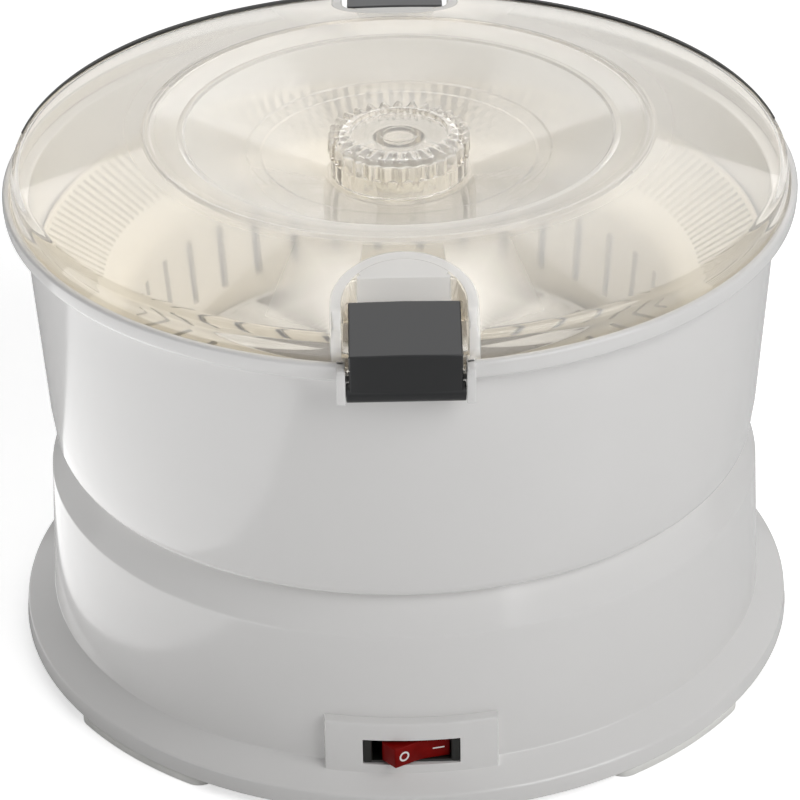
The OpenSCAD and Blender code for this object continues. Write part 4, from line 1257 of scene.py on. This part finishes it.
@dataclass
class Lid:
    """The clear lid: turned crown with two clip pockets, their raised lips and a dotted well.

    Its outside and its inside are heights over a round plan. Both plans are triangulated with the
    circles of the section and the curves of the pockets as fixed edges.
    """

    edge_r: float = 124.2
    inner_edge_r: float = 122.3
    skirt_r: float = 124.3
    skirt_low: float = 157.8
    thick: float = 2.0
    stem_hole_r: float = 7.88
    pocket_half: float = 18.4
    pocket_mid: float = 108.2
    pocket_wall: float = 97.9
    pocket_floor: float = 164.0
    draft: float = 0.3
    end_slope: float = 23.0
    lip_w: float = 3.0
    lip_cone: Triple = (80.5, 181.5, 0.2439)
    dot_pitch: float = 2.1
    dot_r: float = 0.6
    dot_h: float = 0.05
    frost_half: float = 13.3
    frost_reach: float = 12.0
    # A dark strip along the rear edge paints the shadow that lies there: its radius, height and the
    # angles it spans
    shade_strip_r: float = 122.9
    shade_strip_z: float = 169.2
    shade_strip_from: float = 10.5
    shade_strip_to: float = 82.0
    LIP_END = ((121.0, 171.6), (122.6, 170.9), (123.6, 168.6), (124.2, 164.6))
    HAZE = ((80.6, 1.6, 0.22), (69.5, 1.4, 0.22), (45.0, 13.0, 0.26))
    DOT_ROWS = (26.2, 28.8, 31.4, 34.0, 36.6, 39.2, 41.8, 46.6)
    # Distances from a pocket at which curves run along its wall, its lip and its inside
    WALL_GROWS = (-0.9, -0.3, -0.15, 0.0)
    LIP_GROWS = (0.0, 0.1, 0.3, 0.7, 1.5, 2.3, 2.7, 2.9, 3.0, 3.6)
    INNER_GROWS = (1.1, 1.7, 1.85, 2.0, 2.6)
    # Points on the section's circles: below 30 mm, below 60 mm and beyond
    CIRCLES = (96, 240, 384)

    def outer_line(self) -> np.ndarray:
        """The section's outside, from the stem's hole to the edge, as (radius, height).

        Returns:
            The points from the middle outwards, one row each.
        """
        return rounded([
            (self.stem_hole_r, 161.4, 0), (23.5, 161.4, 2.0), (43.8, 168.5, 0.5),
            (44.6, 168.6, 0.5), (48.4, 169.9, 0.3), (49.0, 170.3, 0.3), (68.2, 176.85, 0.4),
            (68.9, 177.6, 0.4), (69.8, 177.6, 0.4), (70.7, 177.45, 0.3), (78.9, 178.87, 0.4),
            (79.7, 179.42, 0.5), (80.9, 179.42, 0.5), (82.1, 178.8, 0.5), (123.6, 169.1, 2.4),
            (self.edge_r, 164.5, 0)], closed=False, steps=5)

    def inner_line(self) -> np.ndarray:
        """The section's inside, from the stem's hole to the edge, as (radius, height).

        Returns:
            The points from the middle outwards, one row each.
        """
        return rounded([
            (self.stem_hole_r, 159.4, 0), (24.5, 159.4, 1.5), (44.4, 166.4, 0.5),
            (49.4, 168.1, 0.5), (69.3, 175.1, 0.8), (80.5, 176.9, 0.8), (121.6, 167.2, 1.6),
            (self.inner_edge_r, 164.5, 0)], closed=False, steps=4)

    def arch(self, x: np.ndarray, y: np.ndarray) -> np.ndarray:
        """Distance outwards from the nearer pocket's arch, which is negative within it."""
        bend = np.hypot(x, np.abs(y) - self.pocket_mid)
        return np.where(np.abs(y) < self.pocket_mid, bend, np.abs(x)) - self.pocket_half

    def upper(self, x: np.ndarray, y: np.ndarray) -> np.ndarray:
        """Height of the outside.

        The crown is the section's height at the radius. The lip's full round rises to its own
        line as (1 - |t|^5)^0.5, where t is -1 and 1 at the lip's two sides, and a dot adds
        dot_h * (1 - distance / dot_r). Within a pocket all falls to the floor over the draft.
        The lip's line is a cone given by (radius, height there, fall per mm), and bends down
        at the edge by LIP_END.

        Args:
            x: Places across.
            y: Places from front to back.

        Returns:
            The heights.
        """
        r = np.hypot(x, y)
        crown = np.interp(r, *self.outer_line().T)
        cone_r, cone_z, fall = self.lip_cone
        ridge = np.minimum(cone_z - fall * (r - cone_r), np.interp(r, *zip(*self.LIP_END)))
        arch = self.arch(x, y)
        across = np.clip(2 * arch / self.lip_w - 1, -1, 1)
        lip = np.sqrt(1 - np.abs(across) ** 5)
        row, count = self.dot_rows()
        near = np.abs(r[..., None] - row).argmin(-1)
        step = FULL_TURN / count[near]
        turn = (np.arctan2(y, x) + step / 2) % step - step / 2
        off = np.hypot(r - row[near], r * turn) / self.dot_r
        crown = crown + self.dot_h * np.maximum(1 - off, 0)
        surface = crown + np.maximum(ridge - crown, 0) * lip
        inside = np.maximum(arch, (self.pocket_wall - np.abs(y)) / self.end_slope)
        return surface + (self.pocket_floor - surface) * smooth(-inside / self.draft)

    def lower(self, x: np.ndarray, y: np.ndarray) -> np.ndarray:
        """Height of the inside: the section's, but under a pocket its floor less the thickness.

        Args:
            x: Places across.
            y: Places from front to back.

        Returns:
            The heights.
        """
        crown = np.interp(np.hypot(x, y), *self.inner_line().T)
        inside = np.maximum(self.arch(x, y), self.pocket_wall - np.abs(y)) - self.thick
        under = self.pocket_floor - self.thick
        return crown + (under - crown) * smooth(-inside / self.draft)

    def pocket_curves(self, grows: tuple[float, ...], edge: float, wall: bool) -> list[np.ndarray]:
        """Curves along the front pocket at some distances from it.

        Args:
            grows: The distances outwards.
            edge: Radius of the plan, where the curves end.
            wall: Whether the flat end wall cuts the arch.

        Returns:
            One open curve for each distance, from edge to edge.
        """
        curves = []
        for grow in grows:
            half = self.pocket_half + grow
            slope = self.end_slope if grow <= 0 else 1.0
            top = max(self.pocket_mid - self.pocket_wall + grow * slope, 0.6)
            reach = math.asin(top / half)
            t = np.linspace(0, reach, 44)
            if not wall:
                t = np.concatenate([t, np.linspace(reach, math.pi / 2, 36)[1:]])
            arc = np.stack([half * np.cos(t), -self.pocket_mid + half * np.sin(t)], -1)
            flat = np.linspace(arc[-1, 0], -arc[-1, 0], 26)[1:-1] if wall else np.empty(0)
            middle = np.stack([flat, np.full_like(flat, arc[-1, 1])], -1)
            foot = -math.sqrt(edge ** 2 - half ** 2)
            leg = np.linspace(foot, -self.pocket_mid, 12, endpoint=False)
            side = np.stack([np.full_like(leg, half), leg], -1)
            right = np.concatenate([side, arc])
            left = (right * (-1, 1))[::-1]
            if not wall:
                left = left[1:]
            curves.append(np.concatenate([right, middle, left]))
        return curves

    def plan(self, radii: np.ndarray, edge: np.ndarray, lines: list[np.ndarray],
             dots: np.ndarray) -> tuple[np.ndarray, np.ndarray]:
        """A round plan's points and triangles.

        Args:
            radii: Radii of the section's circles, from the stem's hole to the edge.
            edge: Angles of the points on the edge.
            lines: The front pocket's curves, which are also used turned to the back.
            dots: Loose points.

        Returns:
            The points and the triangles.
        """
        counts = np.select([radii < 30, radii < 60], self.CIRCLES[:2], self.CIRCLES[2])
        rings = [edge if r == radii[-1] else circle_of(n) for r, n in zip(radii, counts)]
        loops = [polar(r, a) for r, a in zip(radii, rings)]
        paths = lines + [-line for line in lines]
        parts = [*loops, *paths, dots]
        starts = np.cumsum([0] + [len(part) for part in parts])
        pairs = []
        for k, part in enumerate(parts[:-1]):
            index = np.arange(len(part)) + starts[k]
            pair = np.stack([index, np.roll(index, -1)], -1)
            pairs.append(pair if k < len(loops) else pair[:-1])
        spots = [Vector(p) for p in np.concatenate(parts).tolist()]
        made = delaunay_2d_cdt(spots, np.concatenate(pairs).tolist(), [], 0, 1e-4)
        flat = np.array([tuple(p) for p in made[0]])
        tris = np.array(made[2])
        middle = flat[tris].mean(1)
        return flat, tris[np.hypot(*middle.T) > self.stem_hole_r * 0.9992]

    def dot_rows(self) -> tuple[np.ndarray, np.ndarray]:
        """Radii of the rows of fine dots on the well's slope, and the dots on each."""
        radii = np.array(self.DOT_ROWS)
        return radii, np.round(FULL_TURN * radii / self.dot_pitch).astype(int)

    def dots(self) -> np.ndarray:
        """Loose points for the fine dots: the middle and five points round it.

        Returns:
            The points (x, y).
        """
        local = self.dot_r * np.concatenate([[[0, 0]], polar(1.0, circle_of(5))])
        spots = []
        for radius, count in zip(*self.dot_rows()):
            a = circle_of(count)[:, None]
            out = radius + local[:, 0]
            spots.append(np.stack([np.cos(a) * out - np.sin(a) * local[:, 1],
                                   np.sin(a) * out + np.cos(a) * local[:, 1]], -1).reshape(-1, 2))
        return np.concatenate(spots)

    @staticmethod
    def ring_of(flat: np.ndarray, radius: float) -> np.ndarray:
        """Numbers of the plan's points on a circle, in the order of their angles."""
        found = np.flatnonzero(np.abs(np.hypot(*flat.T) - radius) < 2e-3)
        return found[np.argsort(np.arctan2(flat[found, 1], flat[found, 0]) % FULL_TURN)]

    def skin(self) -> Skin:
        """The closed lid: outside, inside, and the bands that join them at edge and stem hole.

        Returns:
            The closed skin.
        """
        ends = [math.asin((self.pocket_half + grow) / r)
                for grows, r in ((self.WALL_GROWS, self.edge_r), (self.LIP_GROWS, self.edge_r),
                                 (self.INNER_GROWS, self.inner_edge_r)) for grow in grows]
        edge = columns(self.CIRCLES[-1], both_ends(np.array(ends)), 0.0015)
        outer_lines = (self.pocket_curves(self.WALL_GROWS, self.edge_r, True)
                       + self.pocket_curves(self.LIP_GROWS, self.edge_r, False))
        inner_lines = self.pocket_curves(self.INNER_GROWS, self.inner_edge_r, True)
        top, top_tris = self.plan(self.outer_line()[:, 0], edge, outer_lines, self.dots())
        low, low_tris = self.plan(self.inner_line()[:, 0], edge, inner_lines, np.empty((0, 2)))
        upper = np.column_stack([top, self.upper(*top.T)])
        lower = np.column_stack([low, self.lower(*low.T)])
        hem = [(self.skirt_r, 0.4), (self.skirt_r - 0.1, 0.1), (self.skirt_r - 0.4, 0.0),
               (self.inner_edge_r + 0.4, 0.0), (self.inner_edge_r + 0.1, 0.1),
               (self.inner_edge_r, 0.4)]
        rings = [np.column_stack([polar(r, edge), np.full(len(edge), self.skirt_low + up)])
                 for r, up in hem]
        start = len(upper) + len(lower)
        rows = [self.ring_of(top, self.edge_r),
                *(np.arange(len(edge)) + start + k * len(edge) for k in range(len(rings))),
                self.ring_of(low, self.inner_edge_r) + len(upper)]
        bands = [strip(a, b) for a, b in zip(rows, rows[1:])]
        bands.append(strip(self.ring_of(top, self.stem_hole_r),
                           self.ring_of(low, self.stem_hole_r) + len(upper)))
        return Skin(np.concatenate([upper, lower, *rings]),
                    [top_tris, low_tris + len(upper), *bands])

    def shade_strip(self) -> Skin:
        """A dark strip of painted shade let into the lid's rear edge, where the rim lies in shadow: two
        arcs that thin out to the sides.

        Returns:
            The closed skin.
        """
        section = rounded([(-1.0, -1.1, 0), (1.1, -1.1, 0), (1.0, 0.9, 0.5), (-0.9, 0.9, 0.5)],
                          steps=3)
        arcs = []
        for low, high in ((self.shade_strip_from, self.shade_strip_to), (-self.shade_strip_to, -self.shade_strip_from)):
            lean = np.radians(np.linspace(low, high, 160))[:, None]
            size = 0.3 + 0.7 * smooth((np.radians(85) - np.abs(lean)) / 0.8)
            r, z = self.shade_strip_r + section[:, 0] * size, self.shade_strip_z + section[:, 1] * size
            arcs.append(Skin.lofted(np.dstack([r * np.sin(lean), r * np.cos(lean), z])))
        return Skin.joined(arcs)

    def build(self) -> None:
        """Make and place the lid, mark the pockets' end walls as frosted, and frost its lips as a
        painted reflection of the soft boxes on their round.
        """
        made = self.skin().build("clear_lid", LID_SHARP_ANGLE)
        x, y, z = spots_of(made)
        arch, out = self.arch(x, y), np.abs(y)
        # The lips' frost is painted reflection: it turns them milky white where the soft boxes shine on
        # their round
        lip = smooth(arch / 0.3) * smooth((self.lip_w + 0.3 - arch) / 0.3) * (out > 85)
        end = 2 * smooth((self.pocket_wall + self.frost_reach - out) / 4)
        end = end * (arch < 0.05) * (np.abs(x) < self.frost_half)
        deep = (z < self.upper(x, y) - 0.6) & (out < self.pocket_wall - self.thick - 0.05)
        milky_and_sheen = np.maximum(lip, np.where(deep, 0.0, end)) * (z > self.pocket_floor - 0.1)
        haze = sum(level * smooth(2.5 - np.abs(np.hypot(x, y) - mid) / half)
                   for mid, half, level in self.HAZE)
        frost(made, np.maximum(milky_and_sheen, haze))
        fit(made, Body.LID, Finish.COVER, "lid")
        # The dark strip on the rear edge is painted shade, in black plastic
        fit(self.shade_strip().build("rear_painted_shade_strip"), Body.LID, Finish.FRAME)


@dataclass
class Knob:
    """The clear knob: ribbed crown with a dished top, a lower tier with flats and a hollow stem."""

    crown_r: float = 22.8
    lobes: int = 28
    lobe_depth: float = 1.0
    top_z: float = 176.0
    crown_low: float = 168.2
    foot_z: float = 161.6
    tier_r: float = 22.0
    tier_in_r: float = 19.4
    dish_r: float = 15.5
    stem_r: float = 7.8

    def outline(self) -> np.ndarray:
        """The knob's section, from the middle of its dish round to the end of its stem's bore.

        Returns:
            The outline's points, one row each.
        """
        dish, under = self.top_z - 1.6, self.top_z - 3.6
        return rounded([
            (0.0, dish, 0), (5.0, dish, 0.3), (5.2, dish + 0.2, 0.2), (6.0, dish + 0.2, 0.2),
            (6.2, dish, 0.3), (self.dish_r, dish, 0.5), (self.dish_r, self.top_z, 0.4),
            (17.6, self.top_z, 0), (19.2, self.top_z, 0),
            (self.crown_r - 0.2, self.top_z, 2.0), (self.crown_r, self.crown_low + 0.6, 0.4),
            (self.crown_r, self.crown_low, 0.3), (self.tier_r, self.crown_low, 0.3),
            (self.tier_r, self.foot_z, 0.5), (self.tier_in_r, self.foot_z, 0.3),
            (self.tier_in_r, under, 0.8), (self.stem_r, under, 0.8), (self.stem_r, 157.4, 0.1),
            (6.8, 157.4, 0.1), (6.8, 156.0, 0.1), (self.stem_r, 156.0, 0.1),
            (self.stem_r, 154.2, 0.4), (5.4, 154.2, 0.3), (5.4, 171.0, 0.5), (0.0, 171.0, 0)],
            steps=5)

    def skin(self) -> Skin:
        """The turned knob with ribs round its crown and flats round its tier.

        The crown's radius is R - depth * (1 - cos(lobes * angle)) * fade, and fade grows over the
        outer 4 mm. Its top sinks between the ribs by 1.2 mm in the same way, which rounds each
        rib into a bead. The tier's outer radius dips by 0.35 mm between its flats' corners.

        Returns:
            The closed skin.
        """
        outline = self.outline()
        turning = Turning(outline, circle_of(self.lobes * 12))
        r, z, angle = turning.grid()
        row = np.arange(len(outline))[:, None]
        inside = int(np.argmin(np.abs(outline - (self.tier_in_r, self.foot_z)).sum(1)))
        crown = (row < inside) & (z > self.crown_low - 0.05) & (r > self.dish_r + 0.8)
        wave = 1 - np.cos(self.lobes * angle)
        ribs = self.lobe_depth * wave * smooth((r - self.dish_r - 1.6) / 3.6)
        sink = 0.6 * wave * smooth((r - self.dish_r - 1.2) / 3.0) * smooth(
            (z - self.top_z + 5.0) / 4.0)
        tier = (row < inside) & (z < self.crown_low - 0.3) & (r > 18.5)
        flats = 0.35 * (1 - np.abs(np.cos(self.lobes * angle / 2)))
        return turning.skin(radius=r - np.where(crown, ribs, 0) - np.where(tier, flats, 0),
                            height=z - np.where(crown, sink, 0))

    def build(self) -> None:
        """Make and place the knob, its crown a little frosted."""
        made = self.skin().build("ribbed_knob")
        frost(made, 0.2 * smooth((spots_of(made)[2] - self.top_z + 4.0) / 2.0))
        fit(made, Body.KNOB, Finish.GRIP, "knob")


# ---------------------------------------------------------------- clips


@dataclass
class Clip:
    """A dark clip on its pin: a bent plate with a low crease, a hooked nose and a knuckle."""

    side: Side
    body: Body
    node: str
    half_w: float = 16.5
    pin_r: float = 127.6
    pin_z: float = 153.6
    pin_bore: float = 1.35
    knuckle_r: float = 2.9
    crease: float = 0.25

    def plate(self) -> Skin:
        """The bent plate.

        Its side view is carried across its width, and points on its upper and outer faces fall by
        crease * |across| / half width, so that its middle is a faint ridge.

        Returns:
            The closed skin.
        """
        outline = rounded([
            (127.9, self.pin_z, 0), (130.3, self.pin_z, 0.6), (130.5, 167.2, 0.6),
            (106.1, 172.2, 0.7), (106.0, 165.0, 0.6), (107.0, 164.5, 0.5), (110.0, 164.5, 0.6),
            (111.2, 167.9, 0.8), (124.9, 165.5, 1.6), (127.4, 162.4, 1.0)], steps=5)
        blank = slab(outline, -self.half_w, self.half_w, 0.55, 3, (-11.0, -5.5, 0.0, 5.5, 11.0))
        out, up, across = blank.points.T
        level = np.interp(out, [106.1, 129.5], [172.1, 167.3])
        fall = self.crease * np.abs(across) / self.half_w
        over = smooth((up - level + 2.0) / 1.2)
        front = smooth((out - 128.6) / 1.2) * smooth((166.5 - up) / 2.0)
        return Skin(np.stack([across, -(out - fall * front), up - fall * over], -1), blank.faces)

    def knuckle(self) -> Skin:
        """The bored knuckle around the pin.

        Returns:
            The closed skin.
        """
        w = self.half_w + 0.9
        profile = rounded([(self.pin_bore, -w, 0.2), (self.knuckle_r, -w, 0.4),
                           (self.knuckle_r, w, 0.4), (self.pin_bore, w, 0.2)], steps=3)
        sleeve = Turning(profile, circle_of(48)).skin().stood(UPRIGHT)
        return sleeve.moved((0, -self.pin_r, self.pin_z))

    def build(self) -> None:
        """Make and place the clip."""
        skin = Skin.joined([self.plate(), self.knuckle()]).turned(self.side.value)
        fit(skin.build(f"{self.body.value}_plate"), self.body, Finish.CLIP, self.node)


# ---------------------------------------------------------------- machinery


class Machinery:
    """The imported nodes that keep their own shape: cover, wiring, motor, gears and shafts."""

    DRESS = {
        Finish.SHELL: ("base_cover",),
        Finish.STEEL: ("cover_screws", "motor_bracket_upper", "motor_bracket_lower",
                       "motor_bolts", "motor_screws", "motor_shaft", "drive_shaft", "drive_head",
                       "knob_retainer"),
        Finish.LAMINATION: ("motor_stator", "rotor_core", "shaft_circlip"),
        Finish.COPPER: ("motor_coil", "supply_leads"),
        Finish.BRASS: ("switch_terminals", "motor_bushes", "motor_pinion", "shaft_bush_upper",
                       "shaft_bush_lower"),
        Finish.NYLON: ("gland_nut", "terminal_block", "thrust_washer", "cooling_fan",
                       "drive_gear", "knob_washer"),
    }

    def build(self) -> None:
        """Give every kept node its finish."""
        for finish, names in self.DRESS.items():
            for name in names:
                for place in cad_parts[name].material_slots:
                    place.material = finish.material()
                LOG.info("%s keeps its shape and takes %s", name, finish.name)


# ---------------------------------------------------------------- studio


@dataclass(frozen=True)
class Lamp:
    """A soft box: where it stands, its two sides, its power and the point that it lights."""

    name: str
    place: Triple
    size: tuple[float, float]
    watts: float
    aim: Triple = (0.0, 0.0, 0.08)

    def hang(self) -> None:
        """Put the lamp up, turned to what it lights."""
        light = bpy.data.lights.new(self.name, "AREA")
        light.shape = "RECTANGLE"
        light.size, light.size_y = self.size
        light.energy = self.watts
        made = placed(self.name, light)
        made.location = self.place
        toward = Vector(self.aim) - Vector(self.place)
        made.rotation_euler = toward.to_track_quat("-Z", "Y").to_euler()


@dataclass
class Studio:
    """Pale floor, white surround, soft boxes and the camera."""

    target: Triple = (-0.00106, 0.0, 0.0762)
    distance: float = 1.1442
    pitch: float = 30.33
    yaw: float = -0.35
    roll: float = -0.957
    lens: float = 154.6
    floor_half: float = 4.0
    floor_tone: float = 0.86
    floor_lift: float = 0.62
    sky_level: float = 0.20

    def lamps(self) -> list[Lamp]:
        """Boxes overhead, at the right and behind, a low card, and two glows off the table.

        Returns:
            The lamps.
        """
        return [
            Lamp("overhead_box", (0.0, 0.45, 1.5), (1.3, 0.5), 3.0),
            Lamp("right_box", (0.74, -0.68, 0.80), (0.8, 0.8), 7.6),
            Lamp("back_box", (0.0, 1.15, 1.15), (1.5, 0.7), 3.8),
            Lamp("low_left_card", (-0.82, -0.56, 0.06), (0.6, 0.10), 0.6),
            Lamp("left_table_glow", (-0.52, -0.31, 0.002), (0.76, 0.78), 2.2, (-0.52, -0.31, 1.0)),
            Lamp("front_table_glow", (0.38, -0.52, 0.002), (1.04, 0.76), 0.3, (0.38, -0.52, 1.0)),
        ]

    @staticmethod
    def seen_by(sheet: Sheet, *rays: str) -> bpy.types.NodeSocket:
        """A value that is 1 for some kinds of ray and 0 for all others.

        Args:
            sheet: The tree.
            rays: The light path's outputs for these kinds.

        Returns:
            The value socket.
        """
        path = sheet.node("ShaderNodeLightPath")
        seen = path.outputs[rays[0]]
        for ray in rays[1:]:
            seen = sheet.node("ShaderNodeMath", seen, path.outputs[ray],
                              settings={"operation": "MAXIMUM"}).outputs[0]
        return seen

    def world(self) -> None:
        """White where the camera, glass or gloss looks, and a dimmer sky for the light itself."""
        sheet = Sheet(bpy.data.worlds.new("studio_surround"))
        shown = self.seen_by(sheet, "Is Camera Ray", "Is Glossy Ray", "Is Transmission Ray")
        level = sheet.node("ShaderNodeMapRange", Value=shown, To_Min=self.sky_level, To_Max=1.0)
        sky = sheet.node("ShaderNodeBackground", Strength=level.outputs[0])
        sheet.node("ShaderNodeOutputWorld", Surface=sky.outputs[0])
        bpy.context.scene.world = sheet.owner

    def floor(self) -> None:
        """A pale floor: it scatters light and takes shadows, and the camera sees it lifted.

        Glossy faces see it unlifted, so that upright dark faces stay dark.
        """
        half = self.floor_half
        mesh = bpy.data.meshes.new("pale_floor")
        mesh.from_pydata([(-half, -half, 0), (half, -half, 0), (half, half, 0), (-half, half, 0)],
                         [], [(0, 1, 2, 3)])
        made = placed("pale_floor", mesh)
        sheet = Sheet(bpy.data.materials.new("pale floor paint"))
        tone = sheet.blended(sheet.ranged(sheet.noise(3.0), 0.0, 1.0), (self.floor_tone,) * 3,
                             (self.floor_tone * 0.995,) * 3)
        paint = sheet.node("ShaderNodeBsdfDiffuse", Color=tone)
        shown = self.seen_by(sheet, "Is Camera Ray", "Is Transmission Ray")
        lift = sheet.node("ShaderNodeMath", shown, self.floor_lift,
                          settings={"operation": "MULTIPLY"})
        glow = sheet.node("ShaderNodeEmission", Strength=lift.outputs[0])
        both = sheet.node("ShaderNodeAddShader", paint.outputs[0], glow.outputs[0])
        mesh.materials.append(sheet.close(both.outputs[0]))

    def camera(self) -> None:
        """The camera, placed by its distance, pitch and yaw about the target, then rolled."""
        pitch, yaw = math.radians(self.pitch), math.radians(self.yaw)
        flat = self.distance * math.cos(pitch)
        away = Vector((flat * math.sin(yaw), -flat * math.cos(yaw),
                       self.distance * math.sin(pitch)))
        lens = bpy.data.cameras.new("front_camera")
        lens.lens = self.lens
        lens.sensor_width = 36.0
        made = placed("front_camera", lens)
        turn = (-away).to_track_quat("-Z", "Y").to_matrix().to_4x4()
        spin = Matrix.Rotation(math.radians(self.roll), 4, "Z")
        made.matrix_world = Matrix.Translation(Vector(self.target) + away) @ turn @ spin
        bpy.context.scene.camera = made

    def build(self) -> None:
        """Set up floor, surround, lamps and camera."""
        bpy.context.scene.view_settings.view_transform = "Standard"
        self.world()
        self.floor()
        for lamp in self.lamps():
            lamp.hang()
        self.camera()


def main() -> None:
    """Build every sub-assembly in order, then the studio."""
    logging.basicConfig(level=logging.INFO, format="%(name)s: %(message)s")
    assemblies = [
        MotorBase(), Switch(), Bowl(), Drum(), Disc(), Lid(), Knob(),
        Clip(Side.FRONT, Body.FRONT_CLIP, "clip_front"),
        Clip(Side.REAR, Body.REAR_CLIP, "clip_rear"), Machinery(), Studio()]
    for assembly in assemblies:
        LOG.info("building %s", type(assembly).__name__)
        assembly.build()


if __name__ == "__main__":
    main()
